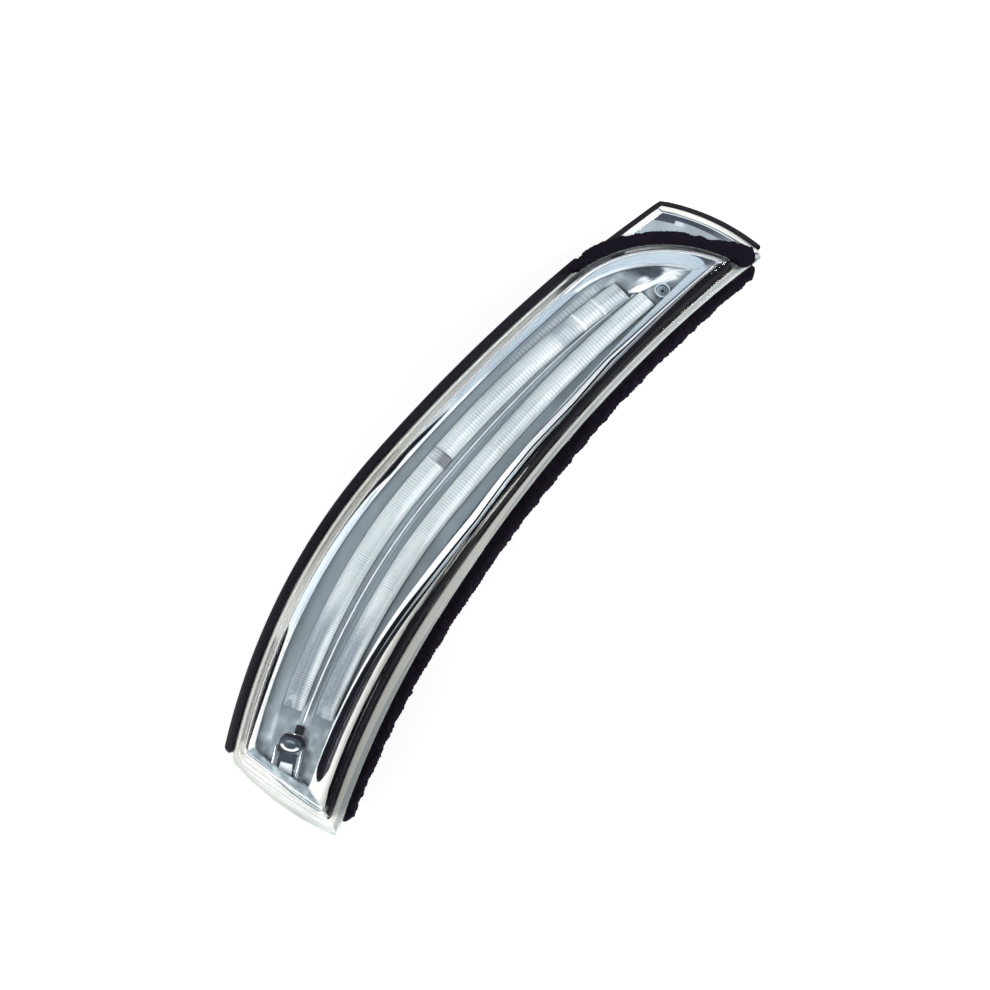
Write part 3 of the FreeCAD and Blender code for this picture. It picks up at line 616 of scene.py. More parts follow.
def flange_bands(window, flange):
    """Painted strips on the two long sides of the flange, lined by the distance in from its rim. They lie
    just over the clear flange, so the shade cast on the bezel beneath it does not show, and their cream
    paints the flange as lit.
    """
    w = np.linspace(0, 1, 60)[:, None, None]
    for name, side, rear in (("front_band", FRONT, 0.0), ("rear_band", REAR, 1.0)):
        inside, outside = inset_ring(window, -0.55)[side], inset_ring(flange, 0.45)[side]
        gap = np.hypot(*(outside - inside).T)
        far = w[..., 0] * gap + 0.25 * noise(8, w[..., 0] * 3, gap * 0 + 1)
        paint = painted(
            CREAM,
            *stripes(far, (0.35, 0.5, 0.05, 0.7 * rear, SLATE), (0.75, 0.87, 0.05, 0.7 * (1 - rear), SLATE)),
            (step(2.3, 2.5, far) * 0.75 * rear, STEEL),
            (band(far, 2.1, 2.3, 0.06), WHITE))
        skin(name, on_bow(inside * (1 - w) + outside * w, 0.03), "liner", paint)


def wall_shade(window, rounding):
    """Painted shade: black strip just outside the clear trailing wall and round the rim, to the turn that the
    table of turns gives each station; it stands in for the dark seen through the wall and hides the wall's
    reflections.
    """
    reach = rounding + WALL_SHADE_GAP
    stop = np.interp(unplan(window)[0], WALL_SHADE_STATIONS, WALL_SHADE_TURNS)
    rows = [on_bow(inset_ring(window, -WALL_SHADE_GAP), height) for height in (0.2, 1.5, 3.0, 4.5)]
    for w in np.linspace(0, 1, 9):
        a = math.pi / 2 + (stop - math.pi / 2) * w
        points = on_crown(window + inward(window) * (rounding - reach * np.sin(a))[:, None], LENS_HEIGHT)
        points[:, 2] -= rounding - reach * np.cos(a)
        rows.append(points)
    skin("wall_shade", np.stack(rows)[:, REAR], "mask")


class LAMP_OT_lens(bpy.types.Operator):
    """Clear lens with its crowned window, flange and flat past the nose"""
    bl_idname = "lamp.lens"
    bl_label = "Lens"

    def execute(self, context):
        settings = context.scene.lamp_lens
        window, flange = window_ring(), flange_ring()
        rings = lens_rings(window, flange, settings)
        lens = skin("lens", np.stack(rings), "lens", None, True)
        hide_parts("outer_lens")
        flange_bands(window, flange)
        wall_shade(window, settings.rounding)
        return {"FINISHED"}


class LAMP_OT_liner(bpy.types.Operator):
    """Bright bezel from under the flange to its opening, painted with the streaks it mirrors"""
    bl_idname = "lamp.liner"
    bl_label = "Bezel"

    def execute(self, context):
        window, opening, outer = window_ring(), opening_ring(), inset_ring(flange_ring(), 0.15)
        span = np.hypot(*(opening - window).T)
        gap = np.hypot(*(outer - window).T)
        rings, aways = [], []

        def lay(ring, height, away):
            rings.append(on_bow(ring, height))
            aways.append(np.broadcast_to(away, span.shape))

        for w in np.linspace(0, 1, 30):
            lay(outer * (1 - w) + inset_ring(window, 0.3) * w, -FLANGE - 0.06, 0.3 * w - (1 - w) * gap)
        lay(inset_ring(window, 1.65), -FLANGE - 0.05, 1.65)
        lay(inset_ring(window, 1.72), 2.8, 1.72)
        face, lip = 1.75, 0.9
        for w in np.linspace(0, 1, 70):
            reach = face * (1 - w) / span + w * (1 - lip / span)
            swell = 0.45 * math.sin(math.pi * min(w * 1.6, 1))
            lay(window + (opening - window) * reach[:, None], FACE_HEIGHT + swell, reach * span)
        for a in np.linspace(0, 1, 12)[1:]:
            reach = 1 - lip * (1 - a) ** 1.3 / span
            lay(window + (opening - window) * reach[:, None], FACE_HEIGHT - 2.9 * a ** 1.6, reach * span)
        lay(opening, -0.2, span)
        rings, aways = np.stack(rings), np.stack(aways)
        station, inset = unplan(rings[..., :2])
        paint = streaks(station, inset, aways, span - aways, window, opening)
        liner = skin("bezel", rings, "liner", paint, True)
        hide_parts("bezel")
        return {"FINISHED"}


def rear_inset(ring, station):
    """Inset of the trailing side of a ring at each station."""
    stations, insets = unplan(ring[REAR])
    order = np.argsort(stations)
    return np.interp(station, stations[order], insets[order])


# The streaks paint the chrome bezel's reflections: the white rim is a painted highlight, the dark blade and
# the light streak in it painted reflections.
# Streaks of the trailing side: at each station, the distances out from the opening's edge at which
# the edge line starts, and the white rim, the light streak in the blade and the cream band start and stop
TRAIL_STATIONS = (-98, -67, -50, -36, -20, 5, 20, 33, 52, 69, 79, 107)
EDGE_IN = (0, 0, 0, 0, 0, 0.2, 0.1, 0.3, 1.1, 0.9, 1.6, 2.9)
RIM_IN = (0.3, 0.35, 0.25, 0.25, 0.6, 1.2, 0.75, 0.7, 1.4, 1.4, 2.1, 3.3)
RIM_OUT = (0.5, 0.95, 1.3, 1.6, 2.2, 2.8, 2.1, 1.9, 2.8, 2.0, 2.7, 3.8)
STREAK_IN = (2.5, 2.6, 2.7, 2.9, 3.0, 3.5, 2.7, 2.5, 3.5, 2.85, 3.3, 4.0)
STREAK_OUT = (2.5, 2.7, 2.9, 3.3, 3.9, 4.4, 3.7, 3.5, 4.3, 4.0, 4.3, 4.3)
CREAM_IN = (4.3, 4.35, 4.1, 4.3, 4.45, 4.65, 4.3, 4.5, 4.6, 4.6, 4.6, 4.6)
CREAM_OUT = (6.2, 6.25, 6.3, 5.6, 5.7, 5.75, 5.4, 4.5, 4.6, 4.6, 4.6, 4.6)
# Dark dashes of the trailing side: where each starts and stops
DASHES = ((66.5, 73.5, 0.4), (74.5, 79.0, 0.4), (80.0, 82.5, 0.4))
# Dark wedge of the leading side, a painted dark reflection in the chrome, by distance in from the window's
# outline
WEDGE_STATIONS = (-60, -45, -30, -17, -9, -2, 0.5, 7.5, 15, 26)
WEDGE_OUT = (1.75, 1.7, 1.6, 1.4, 1.1, 0.8, 0.9, 1.7, 2.4, 3.3)
WEDGE_IN = (1.95, 2.0, 2.05, 2.3, 2.6, 3.4, 3.5, 3.15, 3.4, 3.3)


def trail_paint(station, low):
    """Paint of the trailing side by the distance out from the opening's edge: painted reflections in the
    chrome, with a painted highlight along the white rim.
    """
    edge, rim_in, rim, streak_in, streak_out, blade, cream = [
        np.interp(station, TRAIL_STATIONS, values)
        for values in (EDGE_IN, RIM_IN, RIM_OUT, STREAK_IN, STREAK_OUT, CREAM_IN, CREAM_OUT)]
    rounded = np.sqrt(np.clip((station + 98.5) / 5.0, 0, 1))
    middle, half = (rim + blade) / 2, (blade - rim) / 2 * rounded
    split = (streak_in + streak_out) / 2
    inner_half = step(-30.0, 0.0, station)
    bright = 0.15 + 0.25 * step(-62.0, -45.0, station) + 0.6 * inner_half
    return painted(
        CREAM,
        (step(cream - 0.05, cream + 0.05, low), BLACK),
        *stripes(low, (4.7, 5.3, 0.08, bands(station, DASHES), SKY),
                 (cream - 0.5, cream - 0.4, 0.05, 0.5 * (1 - step(20.0, 30.0, station)), SLATE),
                 (middle - half, middle + half, 0.06, step(0.0, 0.2, half), BLACK),
                 (streak_in, streak_out, 0.08, bright, PALE),
                 (split - 0.07, split + 0.07, 0.04, inner_half, SLATE),
                 (rim_in, rim, 0.07, 1, WHITE)),
        (1 - step(rim_in - 0.12, rim_in, low), SLATE),
        ((1 - step(edge - 0.1, edge, low)) * step(24.0, 50.0, station), SKY))


def lead_paint(station, away, left):
    """Paint of the leading side: cream, a crescent, a pale band, a dark wedge and a grey band; the black
    crescent and wedge are painted dark reflections in the chrome, and the white lines at the opening painted
    highlights.
    """
    wedge_out = np.interp(station, WEDGE_STATIONS, WEDGE_OUT)
    wedge_in = np.interp(station, WEDGE_STATIONS, WEDGE_IN)
    outer_half = 1 - step(-62.0, -50.0, station)
    crescent = np.sqrt(np.clip(1 - ((station + 75.0) / 19.5) ** 2, 0, 1))
    grey = np.interp(station, (2.0, 26.0, 64.0), (1.6, 1.6, 1.0))
    greyed = step(grey - 0.1, grey + 0.1, away)
    past = step(20.0, 30.0, station)
    pale = (1 - outer_half) * (1 - step(-9, -5, station))
    return painted(
        CREAM,
        (band(away, 0.50, 0.64, 0.06) * (1 - outer_half) * 0.8, SLATE),
        (step(wedge_in - 0.1, wedge_in + 0.1, away) * pale, PALE),
        (greyed * step(4.0, 12.0, station) * (1 - past), STEEL),
        (greyed * past, SKY),
        *stripes(away, (wedge_out, wedge_in, 0.08, band(station, -56.0, 25.0, 2.0), BLACK),
                 (2.3 - 1.1 * crescent, 2.3 + 1.5 * crescent, 0.08, step(0.05, 0.2, crescent), BLACK)),
        *stripes(left, (0.05, 0.55, 0.06, band(station, -10.0, 40.0, 4.0), WHITE),
                 (0.15, 0.55, 0.06, outer_half, WHITE),
                 (0.55, 0.68, 0.04, band(station, -14.0, -6.0, 3.0), SLATE)),
        (1 - step(0.06, 0.16, left), SLATE))


def nose_paint(station, inset, away, left, rear, blur):
    """Paint of the bezel's nose: bands of painted reflections and highlights along the rim and the opening,
    with a dark patch at the tip.
    """
    corner = np.hypot(station - OPENING_TIP[0] + 0.1, inset - OPENING_TIP[1] - 0.1)
    patch = step(3.9, 4.2, corner) * step(3.3, 3.5, away) * step(3.0, 3.2, rear - inset)
    return painted(
        SKY,
        (0.25 * step(0.0, 0.6, blur), SATIN),
        (1 - step(0.85, 0.95, away), BLACK),
        *stripes(away, (0.12, 0.28, 0.06, 1, STEEL), (0.95, 1.4, 0.06, 1, WHITE), (1.45, 2.1, 0.08, 1, SLATE),
                 (2.15, 3.1, 0.08, 1, WHITE), (3.2, 3.4, 0.06, 1, SLATE)),
        (patch * step(110.0, 112.0, station), SLATE),
        (band(left, 0.1, 0.7, 0.08), WHITE),
        (1 - step(0.0, 0.12, left), SLATE))


def streaks(station, inset, away, left, window, opening):
    """Paint of the bezel, its painted reflections and highlights: bands by the distance away from the
    window's outline and left to the opening.
    """
    trailing = step(20.0, 26.0, inset)[..., None]
    nose = (station - OPENING_TIP[0]) * 0.48 - (inset - OPENING_TIP[1]) * 0.88
    nose = (step(-0.6, 0.6, nose) * step(70.0, 76.0, station))[..., None]
    tail = -((inset - OPENING_CORNER[1]) * 0.80 + (station - OPENING_CORNER[0]) * 0.60)
    heel = (inset - OPENING_HEEL[1]) * 0.65 - (station - OPENING_HEEL[0]) * 0.76
    end = (step(-0.5, 0.5, tail) * step(-0.5, 0.5, heel))[..., None]
    fine = noise(5, away * 2.4, station / 40.0)
    blur = noise(12, station / 2.2, inset / 1.3)
    rear = rear_inset(window, station)
    low = inset - np.where(station > 105.0, rear - 6.57, rear_inset(opening, station))
    base = painted(
        SATIN,
        (0.5 * step(0.0, 0.7, blur), PALE),
        (0.35 * step(0.1, 0.8, -blur), SLATE),
        (1 - step(0.75, 0.85, away), CREAM),
        *stripes(away, (0.35, 0.5, 0.05, 1, SLATE), (0.85, 1.0, 0.05, 0.8, SLATE), (1.9, 2.1, 0.05, 1, SLATE),
                 (2.15, 2.5, 0.06, 1, PALE), (2.6, 2.7, 0.05, 0.7, SLATE)))
    flange = painted(
        CREAM,
        *stripes(away, (-0.95, -0.83, 0.06, 0.75, SLATE), (-1.75, -1.65, 0.06, 0.5, SLATE),
                 (-1.6, -1.1, 0.2, 0.6, WHITE)),
        ((1 - step(-2.5, -2.2, away)) * trailing[..., 0] * 0.35, STEEL))
    mixed = lead_paint(station, away, left) * (1 - trailing) + trail_paint(station, low) * trailing
    mixed = mixed * (1 - nose) + nose_paint(station, inset, away, left, rear, blur) * nose
    mixed = mixed * (1 - end) + base * end
    foot = -0.35 * trailing * (1 - end)
    mixed = np.where(away[..., None] < foot, flange, mixed)
    return np.clip(mixed * (1 + 0.05 * fine)[..., None], 0, 1)


def land_height(station, inset):
    """Height of the reflector: a flat land with two troughs and a web between them."""
    upper, lower = line_through(UPPER_KNOTS, station), line_through(LOWER_KNOTS, station)
    run = step(GUIDE_START - 2.5, GUIDE_START + 7.0, station)
    troughs = [band(inset, line - half, line + half, 0.15) * run * (1 - step(stop, stop + 0.4, station))
               for line, half, stop in ((upper, UPPER_HALF, UPPER_STOP), (lower, LOWER_HALF, LOWER_STOP))]
    cross = np.abs(inset - (upper + lower) / 2)
    web = np.clip(1.0 - cross * 1.3, 0, 1) * band(station, GUIDE_START, UPPER_STOP, 1.0)
    facets = 0.9 * step(94.0, 104.0, station) * step(0.0, 6.0, np.abs(inset - 21.0))
    return 0.6 - 1.7 * np.maximum(*troughs) + 0.8 * web + facets


def land_paint(station, inset):
    """Satin plating with painted shade in the troughs, a painted highlight and lines of painted shade along
    the web, white and dark painted reflections on the facets near the nose, and blurs at both ends.
    """
    upper, lower = line_through(UPPER_KNOTS, station), line_through(LOWER_KNOTS, station)
    run = band(station, GUIDE_START - 3.0, 90.0, 1.5)
    clouds = noise(11, station / 14.0, inset / 4.0)
    blur = noise(12, station / 2.2, inset / 1.3)
    ends = np.maximum(1 - step(-86.0, -74.0, station), step(66.0, 90.0, station))
    trough = np.maximum(*[band(inset, line - half, line + half, 0.2)
                          for line, half in ((upper, UPPER_HALF - 0.1), (lower, LOWER_HALF - 0.1))])
    facet = step(90.0, 96.0, station - (inset - 16.0) * 0.3) * band(inset, 11.0, 25.0, 1.0)
    shape = noise(14, station / 5.5, inset / 3.0 + 0.5)
    ribs = 0.5 + 0.5 * np.sin(station * 2 * math.pi / 1.25)
    fold = band(station - (inset - 16.0) * 0.5, 99.2, 99.6, 0.15)
    return painted(
        SATIN,
        (0.6 * step(-0.3, 0.7, clouds), SKY),
        (0.30 * ends * step(0.0, 0.7, blur), SLATE),
        (0.5 * ends * step(0.25, 0.8, -blur), PALE),
        (0.5 * ribs * band(inset, 10.4, 12.8, 0.4) * band(station, 48.0, 84.0, 6.0), WHITE),
        (0.3 * trough * run, SLATE),
        *stripes(inset - (upper + lower) / 2, (-0.50, -0.05, 0.06, run, WHITE),
                 (-0.85, -0.68, 0.05, run, SLATE), (0.12, 0.26, 0.05, run, SLATE),
                 (0.95, 1.05, 0.05, run * 0.6, SLATE)),
        (facet * step(-0.05, 0.2, shape), WHITE),
        (facet * step(0.05, 0.3, -shape), SLATE),
        (fold * band(inset, 12.0, 25.0, 1.0), SLATE))


class LAMP_OT_reflector(bpy.types.Operator):
    """Satin reflector with its troughs and web"""
    bl_idname = "lamp.reflector"
    bl_label = "Reflector"

    def execute(self, context):
        u, v = np.linspace(0, 1, 520), np.linspace(0, 1, 190)[None, :, None]
        front = plan(LAND_HEEL[0] + (LAND_TURN[0] - LAND_HEEL[0]) * u, LAND_HEEL[1])
        rear = rear_line(plan(*LAND_TIP), plan(*LAND_CORNER), 5.9, 8.1, u)
        points = front[:, None] * (1 - v) + rear[:, None] * v
        bulge = outward_of(front[-1], rear[-1]) * -4.4
        points = points + bulge * 4 * v * (1 - v) * (u ** 12)[:, None, None]
        station, inset = unplan(points)
        land = skin("reflector", on_bow(points, land_height(station, inset)), "satin",
                    land_paint(station, inset))
        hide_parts("reflector")
        return {"FINISHED"}


def ribbed_guide(name, knots, half, stop, settings, gaps=(), collars=(), shades=()):
    """Guide along the line through knots: section (half cos a, 0.9 + 2.2 sin a), lower between the ribs.

    Gaps are dips in its crown, collars are raised rings and shades are darker lengths.
    """
    pitch, depth, length = settings.rib_pitch, settings.rib_depth, stop - GUIDE_START
    station = np.linspace(GUIDE_START, stop, int(length / pitch) * 9)[:, None]
    foot, low, tall = -0.9, 0.9, 2.2
    angle = np.linspace(0, math.pi, 25)
    across = np.concatenate([[-half], -half * np.cos(angle), [half]])
    up = np.concatenate([[foot], low + tall * np.sin(angle) ** 0.9, [foot]])
    growth = 0.45 * pitch / length
    phase = np.log1p(growth / pitch * (station - GUIDE_START)) / growth + 0.12 * noise(21, station / 9.0)
    keen = 0.62 + 0.38 * noise(27, station / 7.0, across[None, :] / half * 1.3 + 5)
    rib = 1 - keen * (1 - (0.5 + 0.5 * np.cos(2 * math.pi * phase)) ** 0.7)
    crown = np.clip((up - low) / tall, 0, 1)[None, :]
    drop, swell = bands(station, gaps), 0.4 * bands(station, collars)
    height = up[None, :] - crown * (depth * (1 - rib) + drop) + swell * (0.3 + 0.7 * crown)
    reach = across[None, :] * (1 - depth * 0.25 * (1 - rib) / half + swell * 0.10)
    height = foot + (height - foot) * (0.15 + 0.85 * closing(station, GUIDE_START, stop, 5.0, 0.9))
    inset = line_through(knots, station) + reach
    grid = on_bow(plan(np.broadcast_to(station, inset.shape), inset), height)
    grid[[0, -1]] = grid[[0, -1]].mean(1, keepdims=True)
    lit = np.broadcast_to(across[None, :] / half, inset.shape)
    clouds = noise(23, station / 12.0, lit * 1.4 + 4)
    streak = noise(25, station / 30.0, lit * 3.0 + 9)
    blur = noise(12, station / 2.2, inset / 1.3)
    dim = np.clip(1 - step(-72.0, -30.0, station) + 0.35 * band(station, 24.0, 80.0, 14.0), 0, 1)
    deep = 1 - step(-56.0, -40.0, station)
    start = 1 - step(GUIDE_START, GUIDE_START + 9.0, station)
    shade = bands(station, shades) * (0.6 + 0.4 * noise(29, station / 3.0, lit * 1.5 + 2))
    # Painted light on the guide: dark lines in the valleys between the ribs are painted shade, the pale and
    # white stripes along the crown on the ribs painted highlights, and the dip of the gap is painted darker
    # as shade.
    paint = painted(
        FROST,
        (0.35 * step(-0.4, 0.6, streak), PEARL),
        (0.55 * dim, SATIN),
        (0.40 * step(0.0, 0.7, clouds) * dim, DUSK),
        (0.75 * deep * band(lit, -0.9, 0.35, 0.35), DUSK),
        (0.50 * start * step(0.0, 0.7, blur), PALE),
        (0.38 * (1 - rib) ** 1.5 * (1 - 0.6 * lit ** 2), SLATE * np.array(2.2)),
        *stripes(lit, (-0.35, 0.30, 0.30, 0.50 * rib * (1 - 0.5 * dim) * (1 - deep), PEARL),
                 (0.35, 0.95, 0.15, 0.60 * rib * deep, PEARL),
                 (0.0, 0.9, 0.3, 0.5 * rib * step(0.1, 0.6, streak), WHITE),
                 (0.55, 0.70, 0.12, 0.35 * rib, WHITE)),
        (0.6 * shade, DUSK),
        (0.6 * step(0.1, 0.35, swell), WHITE),
        (0.75 * step(0.3, 0.9, drop) * (0.3 + 0.7 * step(-0.2, 0.3, lit)), SLATE))
    return skin(name, grid, "guide", paint)


class LAMP_OT_guides(bpy.types.Operator):
    """Two ribbed light guides, the upper one with a gap and two collars"""
    bl_idname = "lamp.guides"
    bl_label = "Light guides"

    def execute(self, context):
        settings = context.scene.lamp_guides
        upper = ribbed_guide("guide_upper", UPPER_KNOTS, UPPER_HALF, UPPER_STOP, settings,
                             gaps=((10.5, 14.5, 0.25),), collars=((70.6, 71.2, 0.25), (78.2, 78.8, 0.25)),
                             shades=((62.0, 69.5, 1.5), (79.5, 90.0, 2.0)))
        lower = ribbed_guide("guide_lower", LOWER_KNOTS, LOWER_HALF, LOWER_STOP, settings)
        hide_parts("light_guide_upper")
        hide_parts("light_guide_lower")
        return {"FINISHED"}


def placed(points, station, inset):
    """Points given along the leading edge, across and up, set on the bow at a station and inset."""
    heading = float(edge_of(np.asarray(float(station)))[1])
    along = np.array([math.cos(heading), math.sin(heading)])
    across = np.array([-math.sin(heading), math.cos(heading)])
    flat = plan(station, inset) + points[..., :1] * along + points[..., 1:2] * across
    return on_bow(flat, points[..., 2])


def pillow(length, width, low, high, rounding, along):
    """Rounded block as a grid: rows of rounded rectangles from the foot to the middle of the top."""
    ring = np.stack(squared(full_turn(8 * along), 0.25), -1)
    ring = ring * (length / 2, width / 2)
    rows = [(1.0, z) for z in np.linspace(low, high - rounding, 4)]
    for a in np.linspace(0, math.pi / 2, 5)[1:]:
        shrink = 1 - rounding * (1 - math.cos(a)) / (min(length, width) / 2)
        rows.append((shrink, high - rounding * (1 - math.sin(a))))
    rows += [(shrink * w, high) for w in (0.6, 0.3, 0.0)]
    return np.stack([np.concatenate([ring * size, np.full((len(ring), 1), z)], -1) for size, z in rows])


def turned_profile(profile, count=48):
    """Surface of a profile (radius, height) turned about the upright axis."""
    profile = np.asarray(profile, float)
    angle = full_turn(count)
    radius, height = profile[:, :1], profile[:, 1:]
    return np.stack([radius * np.cos(angle), radius * np.sin(angle), height + 0 * angle], -1)


# Shield between the guides: stations and insets of its middle line at each quarter of its length
SHIELD_STATIONS = (88.6, 92.3, 97.0, 101.0, 105.9)
SHIELD_INSETS = (18.9, 20.3, 21.7, 22.7, 23.6)
# Cup over a light chip past the lower guide: station and inset, then radius, height and colour of its
# profile; the colours are painted reflections of its plating, ring by ring
CUP_PLACE = (96.7, 25.2)
CUP_PROFILE = ((2.45, 0.2), (2.35, 1.7), (2.2, 1.95), (1.95, 2.0), (1.8, 1.8), (1.72, 1.0), (1.6, 0.9),
               (1.3, 1.1), (1.0, 0.9), (0.55, 1.2), (0.0, 1.25))
CUP_TONES = (DUSK, DUSK, PALE, SKY, DUSK, DUSK, SATIN, SKY, DUSK, SATIN, DUSK)


class LAMP_OT_nose_details(bpy.types.Operator):
    """Slanting shield between the ends of the guides, and the round cup past the lower one, both painted with
    the reflections of bright plating
    """
    bl_idname = "lamp.nose_details"
    bl_label = "Nose details"

    def execute(self, context):
        w, quarters = np.linspace(0, 1, 90), (0, 0.25, 0.5, 0.75, 1)
        path = plan(np.interp(w, quarters, SHIELD_STATIONS), np.interp(w, quarters, SHIELD_INSETS))
        half = np.interp(w, (0, 0.2, 0.5, 0.8, 1), (0.5, 1.3, 0.9, 1.6, 0.5))
        a = np.linspace(0, math.pi, 24)
        points = path[:, None] + left_of(path)[:, None] * (half[:, None] * np.cos(a))[..., None]
        height = 0.3 + (1.5 - 0.7 * w)[:, None] * np.sin(a) ** 0.8
        lit = np.broadcast_to(np.cos(a), height.shape)
        gloss = noise(19, lit * 1.7 + 3, (w * 4.0)[:, None] + 0 * lit)
        # The shield is painted as lit plating: white with grey patches of painted reflection, and painted
        # shade along both flanks.
        paint = painted(WHITE, (0.7 * step(0.1, 0.5, gloss), SKY), (0.6 * step(0.2, 0.6, -gloss), STEEL),
                        (step(0.86, 0.92, np.abs(lit)), SLATE))
        skin("shield", on_bow(points, height), "liner", paint)
        cup = turned_profile(CUP_PROFILE)
        tones = np.broadcast_to(np.array(CUP_TONES)[:, None], cup.shape)
        skin("cup", placed(cup, *CUP_PLACE), "liner", tones, True)
        floor = turned_profile([(0.6, 1.12), (0.45, 1.35), (0.0, 1.42)], 24)
        skin("cup_floor", placed(floor, *CUP_PLACE), "rubber", None, True)
        return {"FINISHED"}


class LAMP_OT_side_lamp(bpy.types.Operator):
    """Side lamp at the outer end: a channel painted with its chrome's reflections, a dark lens with a painted
    highlight, and a black block as the painted shade in the square hole
    """
    bl_idname = "lamp.side_lamp"
    bl_label = "Side lamp"

    def execute(self, context):
        u, v = np.meshgrid(np.linspace(0, 1, 60), np.linspace(-1, 1, 60), indexing="ij")
        floor = np.stack([-7.2 + 7.0 * u, v * 3.6, 0.9 + 0.8 * u], -1)
        # Painted reflections of the chrome channel: a white tray with grey lines and grey sides, on dark.
        tray = band(u, 0.06, 0.62, 0.02) * (1 - step(0.62, 0.68, np.abs(v) + 0.25 * u))
        paint = painted(SLATE, (step(0.72, 0.80, np.abs(v)) * 0.7, STEEL), (tray, WHITE),
                        (band(u, 0.18, 0.22, 0.01) * tray, STEEL), (1 - step(0.02, 0.05, u), STEEL))
        middle = 19.6
        skin("channel", placed(floor, -91.4, middle), "liner", paint)
        for side in (-1, 1):
            wall = pillow(8.4, 0.8, 0.6, 2.9, 0.3, 12)
            wall[..., 1] += side * 3.9
            made = skin("channel_wall", placed(wall, -94.2, middle), "chrome", None, True)
        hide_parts("side_tower")
        a, b = np.meshgrid(np.linspace(0, 1, 40), full_turn(72), indexing="ij")
        crown = 2.0 + 1.3 * np.sqrt(1 - 0.98 * a ** 2)
        dome = np.stack([2.2 * a * np.cos(b), 3.5 * a * np.sin(b), crown], -1)
        # Painted highlight on the dark lens: a white crescent on one side and a paler sheen on the other.
        crescent = band(a, 0.60, 0.86, 0.04) * step(0.15, 0.45, -np.cos(b))
        shine = 0.6 * band(a, 0.2, 0.5, 0.1) * step(0.2, 0.9, np.cos(b))
        made = skin("side_lens", placed(dome, -88.9, 19.5), "liner",
                    painted(SLATE, (crescent, WHITE), (shine, SATIN)), True)
        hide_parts("side_optic")
        roof = pillow(2.4, 6.8, 0.6, 2.2, 0.4, 10)
        roof[..., 1] *= 1 - 0.16 * roof[..., 0] / 1.1
        # The side hole is a raised black block, painted shade in place of the dark inside the square hole.
        for name, block, place, material, slot in (
                ("side_roof", roof, (-86.9, 19.8), "rubber", "bright_plating"),
                ("side_hole_shade", pillow(2.6, 2.6, 0.55, 1.25, 0.05, 8), (-83.6, 20.8), "rubber", "satin_bright"),
                ("side_tab", pillow(0.8, 3.0, 0.5, 1.3, 0.3, 8), (-85.4, 20.8), "chrome", "satin_bright")):
            skin(name, placed(block, *place), material, None, True)
        return {"FINISHED"}


class LAMP_OT_seal(bpy.types.Operator):
    """Rounded rubber seal along the leading edge, thinner round the flat past the nose"""
    bl_idname = "lamp.seal"
    bl_label = "Edge seal"

    def execute(self, context):
        first, last, tip, half_width, half_height = -95.2, 86.0, 1.2, 1.52, 1.7
        station = np.linspace(first, last, 260)[:, None]
        across, up = squared(full_turn(28), 0.28)
        close = closing(station, first, last, tip, tip)
        inset = 1.5 + half_width * across * close
        level = SEAL_HEIGHT + half_height * up * (0.3 + 0.7 * close)
        grid = on_bow(plan(np.broadcast_to(station, inset.shape), inset), level)
        grid[[0, -1]] = grid[[0, -1]].mean(1, keepdims=True)
        seal = skin("edge_seal", grid, "rubber", None, True)
        ring = flange_ring()
        part = slice(len(LONG) - 14, len(LONG) + len(SHORT) - 3)
        path = ring[part][:, None] - inward(ring)[part][:, None] * (1.05 + 0.85 * across)[None, :, None]
        thin = on_bow(path, np.broadcast_to(SEAL_HEIGHT + 1.5 * up, path.shape[:2]))
        skin("nose_seal", thin, "rubber", None, True)
        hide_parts("edge_seal")
        return {"FINISHED"}


def foam_tube(name, path, across, middle, half_width, half_height, settings, seed):
    """Ragged strip: a rounded section along a path, pushed in and out by lumps and fine tufts."""
    angle = full_turn(40)
    side, up = squared(angle, 0.5)
    run = np.concatenate([[0], np.cumsum(np.hypot(*np.diff(path, axis=0).T))])[:, None]
    push = (settings.lumps * noise(seed, run / 2.3, angle * 1.6 + 3)
            + settings.tufts * noise(seed + 1, run / 0.45, angle * 6.4 + 3))
    ends = closing(run, 0, run[-1], 2.5, 2.5)
    width = (half_width[:, None] + push) * ends
    height = (half_height + 0.6 * push) * (0.25 + 0.75 * ends)
    grid = on_bow(path[:, None] + across[:, None] * (side * width)[..., None], middle + up * height)
    grid[[0, -1]] = grid[[0, -1]].mean(1, keepdims=True)
    made = skin(name, grid, "foam", None, True)
    return made


class LAMP_OT_foam(bpy.types.Operator):
    """Ragged foam strips along the trailing side and across the flange at the nose"""
    bl_idname = "lamp.foam"
    bl_label = "Foam strips"

    def execute(self, context):
        settings = context.scene.lamp_foam
        w, start, stop, level, half_height = np.linspace(0, 1, 900), -108.5, 126.0, -7.6, 3.4
        near = rear_line(plan(stop, 33.0), plan(start, 35.6), -0.6, -0.6, w)
        far = rear_line(plan(stop, 36.4), plan(start, 40.4), -6.6, -6.6, w)
        half = np.hypot(*(far - near).T) / 2
        side = (far - near) / (2 * half)[:, None]
        strip = foam_tube("foam_side", (near + far) / 2, side, level, half, half_height, settings, 31)
        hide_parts("foam_strip_side")
        w, level, half_height = np.linspace(0.0, 1.09, 260), 1.9, 1.65
        widened = step(0.0, 0.2, w)
        half = 1.1 + 1.2 * widened + 1.2 * step(0.8, 1.05, w)
        outward = left_of(window_nose(w))
        line = window_nose(w) + outward * (half + 0.4 + 0.8 * (1 - widened))[:, None]
        cross = foam_tube("foam_cross", line, outward, level, half, half_height, settings, 41)
        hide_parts("foam_strip_cross")
        return {"FINISHED"}


